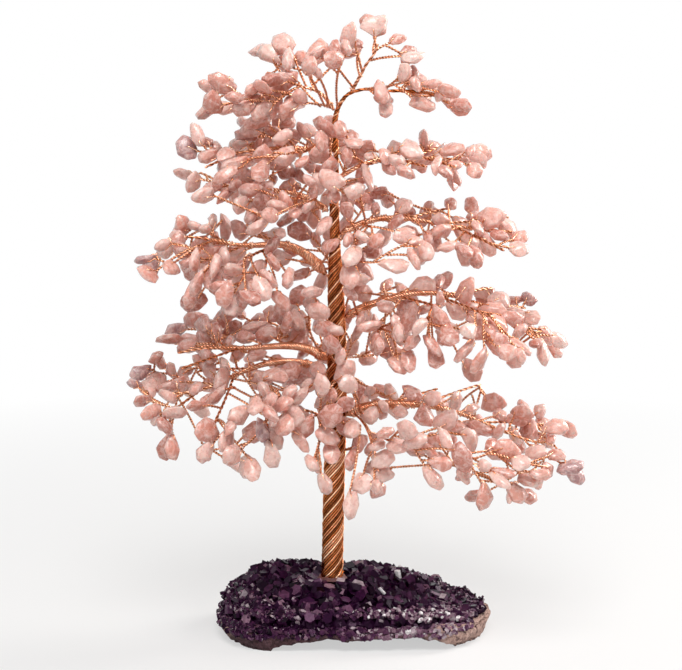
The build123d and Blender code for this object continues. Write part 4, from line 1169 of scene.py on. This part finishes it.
class GEMTREE_OT_rock(bpy.types.Operator):
    """Roughen the natural rock and the quartz band on it"""
    bl_idname = "gem_tree.rock"
    bl_label = "Natural Rock"

    def execute(self, context):
        slab = context.scene.gem_tree_slab
        rock = roughened("base_rock", "natural_rock", slab, slab.rock_relief)
        hand_over(rock, "host_rock", rough_rock("host_rock", slab, 0.0), "base_rock")
        band = roughened("quartz_band", "banded_rock", slab, slab.rock_relief * BAND_RELIEF_SHARE)
        hand_over(band, "banded_quartz", rough_rock("banded_quartz", slab, BAND_PLUM_SHARE), "quartz_band")
        return {"FINISHED"}


# Above everything on the slab, in metres
OVER_THE_SLAB = 0.1

# The ground's slope is read in this many directions round a place, and where some of it is missing there, it
# is taken to lie this share of the reach lower than the lowest
DIRECTIONS = 8
EDGE_DROP_SHARE = 0.8

# Crystals stand in rows this share of their pitch apart, each up to this share of it out of line
ROW_SHARE = 0.866
PLACE_WANDER_SHARE = 0.35


class DruseGround:
    """The packed druse, asked for its height and slope at a place."""
    def __init__(self):
        self.low, self.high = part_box("amethyst_druse")
        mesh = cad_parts["amethyst_druse"].data
        polygons = [tuple(polygon.vertices) for polygon in mesh.polygons]
        self.tree = BVHTree.FromPolygons([vertex.co[:] for vertex in mesh.vertices], polygons)

    def seen(self, across, down):
        """The point of the druse that shows at a pixel of the photograph."""
        right, fall = (across - VIEW_CENTRE[0]) / VIEW_FOCAL, (down - VIEW_CENTRE[1]) / VIEW_FOCAL
        way = Vector((
            right,
            math.cos(VIEW_PITCH) - fall * math.sin(VIEW_PITCH),
            -math.sin(VIEW_PITCH) - fall * math.cos(VIEW_PITCH),
        ))
        return self.tree.ray_cast(EYE, way.normalized())[0]

    def height(self, right, back):
        """The height of the druse at a place seen from above, or None beside it."""
        hit = self.tree.ray_cast((right, back, OVER_THE_SLAB), (0.0, 0.0, -1.0))[0]
        return None if hit is None else hit.z

    def rim_share(self, right, back):
        """Nought at the slab's middle and one at its rim."""
        middle, half = (self.low + self.high) / 2, (self.high - self.low) / 2
        return math.hypot((right - middle.x) / half.x, (back - middle.y) / half.y)

    def places(self, pitch, chance):
        """Uneven places over the druse's whole box, about one pitch apart."""
        row_pitch, wander = pitch * ROW_SHARE, PLACE_WANDER_SHARE
        rows = int((self.high.y - self.low.y) / row_pitch) + 1
        columns = int((self.high.x - self.low.x) / pitch) + 1
        for row in range(rows + 1):
            for column in range(columns + 1):
                along = pitch * (column + 0.5 * (row % 2))
                right = self.low.x + along + chance.uniform(-wander, wander) * pitch
                back = self.low.y + row_pitch * row + chance.uniform(-wander, wander) * pitch
                yield right, back

    def smooth(self, right, back, reach):
        """The ground's height and upward direction, evened out over a reach, and whether it is all there."""
        samples = []
        for turn in range(DIRECTIONS):
            angle = 2 * math.pi * turn / DIRECTIONS
            step = np.array([math.cos(angle), math.sin(angle)]) * reach
            level = self.height(right + step[0], back + step[1])
            samples.append((step, level))
        known = [level for _, level in samples if level is not None]
        if not known or self.height(right, back) is None:
            return None
        low = min(known)
        levels = [low - reach * EDGE_DROP_SHARE if level is None else level for _, level in samples]
        tilt = sum(step * level for (step, _), level in zip(samples, levels))
        slope = tilt / (DIRECTIONS / 2 * reach ** 2)
        normal = unit(np.array([-slope[0], -slope[1], 1.0]))
        return sum(known) / len(known), normal, len(known) == len(samples)


# How much of a crystal's length is its prism, under its pyramid
PRISM_SHARE = 0.45

# How a crystal varies: its apex's lean and its breadth, as shares of its width, and how it is turned
APEX_LEAN_SHARE = 0.3
BREADTH_SHARES = (0.75, 1.2)
TURNS = (0, 6.3)
OFF_LEVEL = 0.05

# How a crystal's faces vary in tone: each takes a painted shade near its crystal's, a few take a painted
# glint, none goes past the palest, and a crystal that stands for a glint is white all over
GLINTING_SHARE = 0.11
GLINTS = (0.30, 0.8)
FACE_SPREAD = 0.10
PALEST_FACE = 0.9
PAINTED_GLINT_TONE = 1.0


def crystal_pattern():
    """One amethyst point, a unit wide and a unit long: a six-sided prism with a pointed end."""
    bpy.ops.object.select_all(action="DESELECT")
    bpy.ops.mesh.primitive_cylinder_add(
        vertices=6, radius=0.5, depth=PRISM_SHARE, location=(0, 0, PRISM_SHARE / 2)
    )
    obj = bpy.context.object
    bpy.ops.object.transform_apply(location=True)
    for polygon in obj.data.polygons:
        polygon.select = polygon.normal.z > 0.9
    bpy.ops.object.mode_set(mode="EDIT")
    bpy.ops.mesh.extrude_region_move(TRANSFORM_OT_translate={"value": (0, 0, 1 - PRISM_SHARE)})
    bpy.ops.mesh.merge(type="CENTER")
    bpy.ops.object.mode_set(mode="OBJECT")
    points = corner_points(obj.data)
    polygons = [tuple(polygon.vertices) for polygon in obj.data.polygons]
    discard(obj)
    return points, polygons


class CrystalField:
    """Crystals set one by one, gathered into one mesh."""
    def __init__(self):
        self.pattern, self.faces = crystal_pattern()
        self.apex = int(np.argmax(self.pattern[:, 2]))
        self.points, self.polygons, self.tones = [], [], []

    def plant(self, foot, way, width, length, tone, chance):
        """Set one crystal with its foot at a place, pointing a way, its faces about one tone."""
        shape = self.pattern.copy()
        lean = APEX_LEAN_SHARE
        shape[self.apex, :2] += [chance.uniform(-lean, lean), chance.uniform(-lean, lean)]
        squash = chance.uniform(*BREADTH_SHARES)
        shape *= [width * squash, width / squash, length]
        across = [math.cos(chance.uniform(*TURNS)), math.sin(chance.uniform(*TURNS)), OFF_LEVEL]
        side = unit(np.cross(way, across))
        turn = np.array([side, np.cross(way, side), way])
        start = len(self.points) * len(shape)
        self.points.append(shape @ turn + foot)
        self.polygons += [tuple(corner + start for corner in face) for face in self.faces]
        self.tones += [self.face_tone(tone, chance) for _ in self.faces]

    def face_tone(self, tone, chance):
        """One face's tone: mostly a painted shade near its crystal's, now and then a painted glint."""
        glints = chance.random() < GLINTING_SHARE
        change = chance.uniform(*GLINTS) if glints else chance.gauss(0.0, FACE_SPREAD)
        return PAINTED_GLINT_TONE if tone >= PAINTED_GLINT_TONE else max(0.0, min(PALEST_FACE, tone + change))

    def finish(self, name):
        """The mesh of all the crystals, flat faced."""
        mesh = bpy.data.meshes.new(name)
        mesh.from_pydata(np.vstack(self.points).tolist(), [], self.polygons)
        set_share(mesh, "tone", self.tones, "FACE")
        obj = new_object(name, mesh)
        select_only(obj)
        bpy.ops.object.shade_flat()
        return obj


# Over what share of a large crystal's width the ground is evened out under each crystal
LEVEL_SHARE = 0.8

# The large crystals: the spread and the most of their width, their width at the druse's edge, their lean, the
# least that they rise, their length and how deep they stand, as shares of their width or length
LARGE_WIDTH_SPREAD = 0.28
LARGE_WIDEST_SHARE = 1.45
LARGE_EDGE_SHARE = 0.7
LARGE_LEAN = 0.38
LARGE_LEAST_RISE = 0.1
LARGE_LENGTH_SHARES = (1.2, 1.9)
LARGE_SUNK_SHARE = 0.42

# They keep off this share of the foot collar's reach
COLLAR_CLEAR_SHARE = 0.95

# The fine crystals: where they begin on the way to the rim, and their width, lean, length, height and depth
RIM_START_SHARE = 0.80
RIM_WANDER_SHARE = 0.08
FINE_WIDTH_SHARES = (0.7, 1.5)
FINE_LEAN = 0.4
FINE_LENGTH_SHARES = (1.4, 2.2)
FINE_RAISED = 0.4 * MM
FINE_SUNK_SHARE = 0.3

# The white crystals that stand for painted glints: their length against what shows of them, and how deep they
# stand
PAINTED_GLINT_LENGTH_SHARE = 1.5
PAINTED_GLINT_SUNK_SHARE = 0.3

# The crystals down the rock's sides: how unevenly they end, how many there are, how far past the tan rind's
# start and over what distance they thin out, how far down a side may face, and their shape
SIDE_FLOOR_SPREAD = 0.5 * MM
SIDE_CROWD_SHARE = 1.6
SIDE_RIND_START = 8 * MM
SIDE_RIND_BLEND = 14 * MM
SIDE_LOWEST_FACING = -0.35
SIDE_WIDTH_SHARES = (0.6, 1.3)
SIDE_LENGTH_SHARES = (1.2, 2.0)
SIDE_LEAN = 0.4
SIDE_RISE = 0.35
SIDE_RISE_SPREAD = 0.3
SIDE_SUNK_SHARE = 0.35

# Their tone, how much paler it is along the pale stretch, and its spread
SIDE_TONE = 0.30
SIDE_PALENESS = 0.46
SIDE_TONE_SPREAD = 0.14

# The pale stretch on the right: its middle, its reach, and how much of the reach is palest
PALE_MIDDLE = 32 * MM
PALE_REACH = 20 * MM
PALE_FULL_SHARE = 0.6

# How much paler the fine crystals at the rim are, and how much more along the front of the pale stretch
RIM_PALENESS = 0.16
FRONT_PALENESS = 0.42

# How the tones of the druse's crystals are spread, and the few pale ones among them
CRYSTAL_TONE_SPREAD = (1.1, 4.4)
PALE_CRYSTAL_SHARE = 0.04
PALE_CRYSTAL_TONES = (0.5, 0.85)

# The ground between the crystals: how far it is drawn down, its facets' width and height, and its tone
BED_DROP = 1.0 * MM
BED_FACET_WIDTH = 2.2 * MM
BED_FACET_HEIGHT = 1.6 * MM
BED_TONE = 0.15


def leaning(normal, lean, chance):
    """A direction near another, off it at random."""
    return unit(normal + np.array([chance.gauss(0, lean) for _ in range(3)]))


def pale_share(right):
    """One in the pale stretch on the right, falling to nought on both sides of it."""
    return max(0.0, min(1.0, 1 + PALE_FULL_SHARE - abs(right - PALE_MIDDLE) / PALE_REACH))


def crystal_tone(chance):
    """The tone of one of the druse's crystals: mostly dark, and a few pale."""
    tone = chance.betavariate(*CRYSTAL_TONE_SPREAD)
    if chance.random() < PALE_CRYSTAL_SHARE:
        tone = chance.uniform(*PALE_CRYSTAL_TONES)
    return tone


class GEMTREE_OT_druse(bpy.types.Operator):
    """Grow the amethyst points over the slab, fine at the rim and large inside"""
    bl_idname = "gem_tree.druse"
    bl_label = "Amethyst Druse"

    def execute(self, context):
        slab = context.scene.gem_tree_slab
        chance = random.Random("amethyst points")
        ground, field = DruseGround(), CrystalField()
        self.large_points(slab, ground, field, chance)
        self.fine_points(slab, ground, field, chance)
        self.painted_glint_points(ground, field, chance)
        crystals = field.finish("amethyst_points")
        bed = self.bed()
        select_only(crystals, bed)
        bpy.ops.object.join()
        material = amethyst(slab)
        hand_over(crystals, "amethyst", material, "amethyst_druse")
        sides = self.side_points(slab, chance)
        hand_over(sides, "amethyst", material)
        return {"FINISHED"}

    def large_points(self, slab, ground, field, chance):
        """The large crystals all over the druse, clear of the trunk's foot."""
        foot_reach = max(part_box("foot_collar")[1].xy) * COLLAR_CLEAR_SHARE
        for right, back in ground.places(slab.crystal_pitch, chance):
            spot = ground.smooth(right, back, slab.crystal_width * LEVEL_SHARE)
            if spot is None or math.hypot(right, back) < foot_reach:
                continue
            height, normal, inside = spot
            spread = chance.lognormvariate(0.0, LARGE_WIDTH_SPREAD)
            width = slab.crystal_width * min(LARGE_WIDEST_SHARE, spread)
            if not inside:
                width *= LARGE_EDGE_SHARE
            way = leaning(normal, LARGE_LEAN, chance)
            if way[2] < LARGE_LEAST_RISE:
                way[2] = LARGE_LEAST_RISE
                way = unit(way)
            length = width * chance.uniform(*LARGE_LENGTH_SHARES)
            foot = np.array([right, back, height]) - way * length * LARGE_SUNK_SHARE
            field.plant(foot, way, width, length, crystal_tone(chance), chance)

    def fine_points(self, slab, ground, field, chance):
        """The fine crystals along the druse's rim, palest in front on the right."""
        for right, back in ground.places(slab.sugar_pitch, chance):
            spot = ground.smooth(right, back, slab.crystal_width * LEVEL_SHARE)
            if spot is None:
                continue
            height, normal, _ = spot
            start = RIM_START_SHARE + chance.uniform(-RIM_WANDER_SHARE, RIM_WANDER_SHARE)
            if ground.rim_share(right, back) < start:
                continue
            width = slab.sugar_width * chance.uniform(*FINE_WIDTH_SHARES)
            way = leaning(normal, FINE_LEAN, chance)
            length = width * chance.uniform(*FINE_LENGTH_SHARES)
            foot = np.array([right, back, height + FINE_RAISED]) - way * length * FINE_SUNK_SHARE
            front = FRONT_PALENESS * pale_share(right) if back < 0 else 0.0
            tone = min(1.0, crystal_tone(chance) + (RIM_PALENESS + front))
            field.plant(foot, way, width, length, tone, chance)

    def painted_glint_points(self, ground, field, chance):
        """White crystals as painted glints, where the photograph shows them."""
        for (across, down), (to_across, to_down), width in PAINTED_GLINTS:
            foot = ground.seen(across, down)
            foot = foot + (EYE - foot).normalized() * PAINTED_GLINTS_FORWARD
            tip = np.array([to_across - across, 0.0, down - to_down]) * (foot - EYE).length / VIEW_FOCAL
            way = unit(tip)
            length = np.linalg.norm(tip) * PAINTED_GLINT_LENGTH_SHARE
            sunk = np.array(foot) - way * length * PAINTED_GLINT_SUNK_SHARE
            field.plant(sunk, way, width, length, PAINTED_GLINT_TONE, chance)

    def side_points(self, slab, chance):
        """Fine milky crystals over the sides of the rock, thinning out downwards and towards the tan rind."""
        field = CrystalField()
        for name in ("banded_rock", "natural_rock"):
            mesh = bpy.data.objects[name].data
            mesh.calc_loop_triangles()
            for triangle in mesh.loop_triangles:
                middle = np.mean([mesh.vertices[corner].co for corner in triangle.vertices], axis=0)
                self.side_point(slab, field, middle, triangle, chance)
        return field.finish("fine_amethyst")

    def side_point(self, slab, field, middle, triangle, chance):
        """A crystal on one triangle of the rock, or none."""
        if middle[2] < slab.sugar_floor + chance.gauss(0, SIDE_FLOOR_SPREAD):
            return
        normal = np.array(triangle.normal)
        expected = triangle.area / (slab.side_pitch ** 2) * SIDE_CROWD_SHARE
        bare = (middle[0] - slab.right_rind - SIDE_RIND_START) / SIDE_RIND_BLEND
        if normal[2] < SIDE_LOWEST_FACING or chance.random() > expected or chance.random() < bare:
            return
        width = slab.side_width * chance.uniform(*SIDE_WIDTH_SHARES)
        length = width * chance.uniform(*SIDE_LENGTH_SHARES)
        lean = [chance.gauss(0, SIDE_LEAN), chance.gauss(0, SIDE_LEAN)]
        rise = SIDE_RISE + chance.gauss(0, SIDE_RISE_SPREAD)
        way = unit(normal + np.array([*lean, rise]))
        tone = SIDE_TONE + SIDE_PALENESS * pale_share(middle[0]) + chance.gauss(0, SIDE_TONE_SPREAD)
        field.plant(middle - way * length * SIDE_SUNK_SHARE, way, width, length, tone, chance)

    def bed(self):
        """The ground between the points: the packed druse, drawn down and broken up."""
        obj = merged_copy("amethyst_druse", "druse_bed")
        in_edit_mode(obj, lambda: bpy.ops.mesh.subdivide(number_cuts=2))
        points = corner_points(obj.data)
        points[:, 2] = np.maximum(points[:, 2].min(), points[:, 2] - BED_DROP)
        set_corner_points(obj.data, points)
        facets = bpy.data.textures.new("bed_facets", "VORONOI")
        facets.noise_scale = BED_FACET_WIDTH
        displace(obj, facets, BED_FACET_HEIGHT)
        set_share(obj.data, "tone", np.full(len(obj.data.polygons), BED_TONE), "FACE")
        select_only(obj)
        bpy.ops.object.shade_flat()
        return obj


# The floor, the light and the camera

# The soft lamps, each named as its power is in the settings: place, size and tint, and what they aim at
LAMPS = {
    "key": ((0.0, -0.50, 0.88), (0.5, 0.4), (1.0, 0.98, 0.96)),
    "strip": ((-0.42, -0.80, 0.30), (0.10, 0.8), (1.0, 1.0, 1.0)),
    "rim": ((0.60, 0.25, 0.40), (0.15, 0.6), (1.0, 0.97, 0.93)),
}
LAMP_TARGET = Vector((0.0, 0.0, 0.12))

# The floor's grey, and how far from the tree, in metres, it shows how much of plain white
FLOOR_GREY = (0.74, 0.74, 0.74, 1.0)
NEAR_WHITE = (0.10, 0.55)
FAR_WHITE = (0.50, 1.0)


def soft_lamp(name, place, size, tint, power):
    lamp = bpy.data.lights.new(name, "AREA")
    lamp.shape = "RECTANGLE"
    lamp.size, lamp.size_y = size
    lamp.energy = power
    lamp.color = tint
    obj = new_object(name, lamp)
    obj.location = place
    obj.rotation_euler = (LAMP_TARGET - obj.location).to_track_quat("-Z", "Y").to_euler()


def white_to_the_camera(tree):
    """One for camera, glossy and transmission rays, which see plain white, and nought for the rest."""
    rays = tree.nodes.new("ShaderNodeLightPath")
    seen = rays.outputs["Is Camera Ray"]
    for other in ("Is Glossy Ray", "Is Transmission Ray"):
        either = tree.nodes.new("ShaderNodeMath")
        either.operation = "MAXIMUM"
        tree.links.new(seen, either.inputs[0])
        tree.links.new(rays.outputs[other], either.inputs[1])
        seen = either.outputs[0]
    return seen


class GEMTREE_OT_stage(bpy.types.Operator):
    """Set the pale floor, the soft light and the camera"""
    bl_idname = "gem_tree.stage"
    bl_label = "Stage"

    def execute(self, context):
        stage = context.scene.gem_tree_stage
        self.floor(stage)
        self.world(context, stage)
        for name, (place, size, tint) in LAMPS.items():
            soft_lamp(name, place, size, tint, getattr(stage, name))
        self.camera(context)
        context.scene.view_settings.view_transform = "Standard"
        return {"FINISHED"}

    def floor(self, stage):
        bpy.ops.object.select_all(action="DESELECT")
        bpy.ops.mesh.primitive_plane_add(size=stage.floor_size, location=(0, 0, 0))
        floor = bpy.context.object
        floor.name = "floor"
        floor.data.materials.append(self.floor_paint())

    def floor_paint(self):
        """Pale paint that keeps the shadow, and plain white to the camera further off."""
        nodes = Nodes("floor_paint")
        nodes.set(Base_Color=FLOOR_GREY, Roughness=0.8, Specular_IOR_Level=0.2)
        tree = nodes.tree
        away = nodes.add("ShaderNodeVectorMath", operation="LENGTH")
        nodes.join(nodes.place, away.inputs[0])
        near_share = nodes.ramp(away.outputs["Value"], NEAR_WHITE, FAR_WHITE)
        white = nodes.add("ShaderNodeEmission")
        mix = nodes.add("ShaderNodeMixShader")
        seen = white_to_the_camera(tree)
        nodes.join(nodes.math("MULTIPLY", seen, near_share), mix.inputs["Fac"])
        nodes.join(nodes.shader.outputs[0], mix.inputs[1])
        nodes.join(white.outputs[0], mix.inputs[2])
        nodes.join(mix.outputs[0], tree.nodes["Material Output"].inputs["Surface"])
        return nodes.material

    def world(self, context, stage):
        world = bpy.data.worlds.new("studio")
        context.scene.world = world
        world.use_nodes = True
        tree = world.node_tree
        ambient = tree.nodes["Background"]
        ambient.inputs["Strength"].default_value = stage.ambient
        ambient.inputs["Color"].default_value = (1.0, 1.0, 1.0, 1.0)
        white = tree.nodes.new("ShaderNodeBackground")
        white.inputs["Strength"].default_value = 1.0
        white.inputs["Color"].default_value = (1.0, 1.0, 1.0, 1.0)
        mix = tree.nodes.new("ShaderNodeMixShader")
        tree.links.new(white_to_the_camera(tree), mix.inputs["Fac"])
        tree.links.new(ambient.outputs[0], mix.inputs[1])
        tree.links.new(white.outputs[0], mix.inputs[2])
        tree.links.new(mix.outputs[0], tree.nodes["World Output"].inputs["Surface"])

    def camera(self, context):
        data = bpy.data.cameras.new("camera")
        data.sensor_width = SENSOR_WIDE
        data.lens = VIEW_FOCAL * data.sensor_width / VIEW_WIDE
        camera = new_object("camera", data)
        camera.location = EYE
        camera.rotation_euler = (math.pi / 2 - VIEW_PITCH, 0.0, 0.0)
        context.scene.camera = camera


class GEMTREE_PT_panel(bpy.types.Panel):
    """The tree's pieces, in the order in which they are made"""
    bl_idname = "GEMTREE_PT_panel"
    bl_label = "Gemstone Tree"
    bl_space_type = "VIEW_3D"
    bl_region_type = "UI"
    bl_category = "Gem Tree"

    def draw(self, context):
        for operator in OPERATORS:
            self.layout.operator(operator.bl_idname)
        for name, group in SETTINGS.items():
            box = self.layout.box()
            box.label(text=group.__doc__)
            settings = getattr(context.scene, name)
            for key in group.__annotations__:
                box.prop(settings, key)


SETTINGS = {
    "gem_tree_stones": StoneSettings,
    "gem_tree_wires": WireSettings,
    "gem_tree_trunk": TrunkSettings,
    "gem_tree_slab": SlabSettings,
    "gem_tree_stage": StageSettings,
}
OPERATORS = [
    GEMTREE_OT_stones,
    GEMTREE_OT_twigs,
    GEMTREE_OT_stems,
    GEMTREE_OT_trunk,
    GEMTREE_OT_foot,
    GEMTREE_OT_rock,
    GEMTREE_OT_druse,
    GEMTREE_OT_stage,
]
CLASSES = [*SETTINGS.values(), *OPERATORS, GEMTREE_PT_panel]


def register():
    for made in CLASSES:
        bpy.utils.register_class(made)
    for name, group in SETTINGS.items():
        setattr(bpy.types.Scene, name, PointerProperty(type=group))


def unregister():
    for name in SETTINGS:
        delattr(bpy.types.Scene, name)
    for made in reversed(CLASSES):
        bpy.utils.unregister_class(made)


def main():
    register()
    bpy.ops.gem_tree.stones()
    bpy.ops.gem_tree.twigs()
    bpy.ops.gem_tree.stems()
    bpy.ops.gem_tree.trunk()
    bpy.ops.gem_tree.foot()
    bpy.ops.gem_tree.rock()
    bpy.ops.gem_tree.druse()
    bpy.ops.gem_tree.stage()


if __name__ == "__main__":
    main()
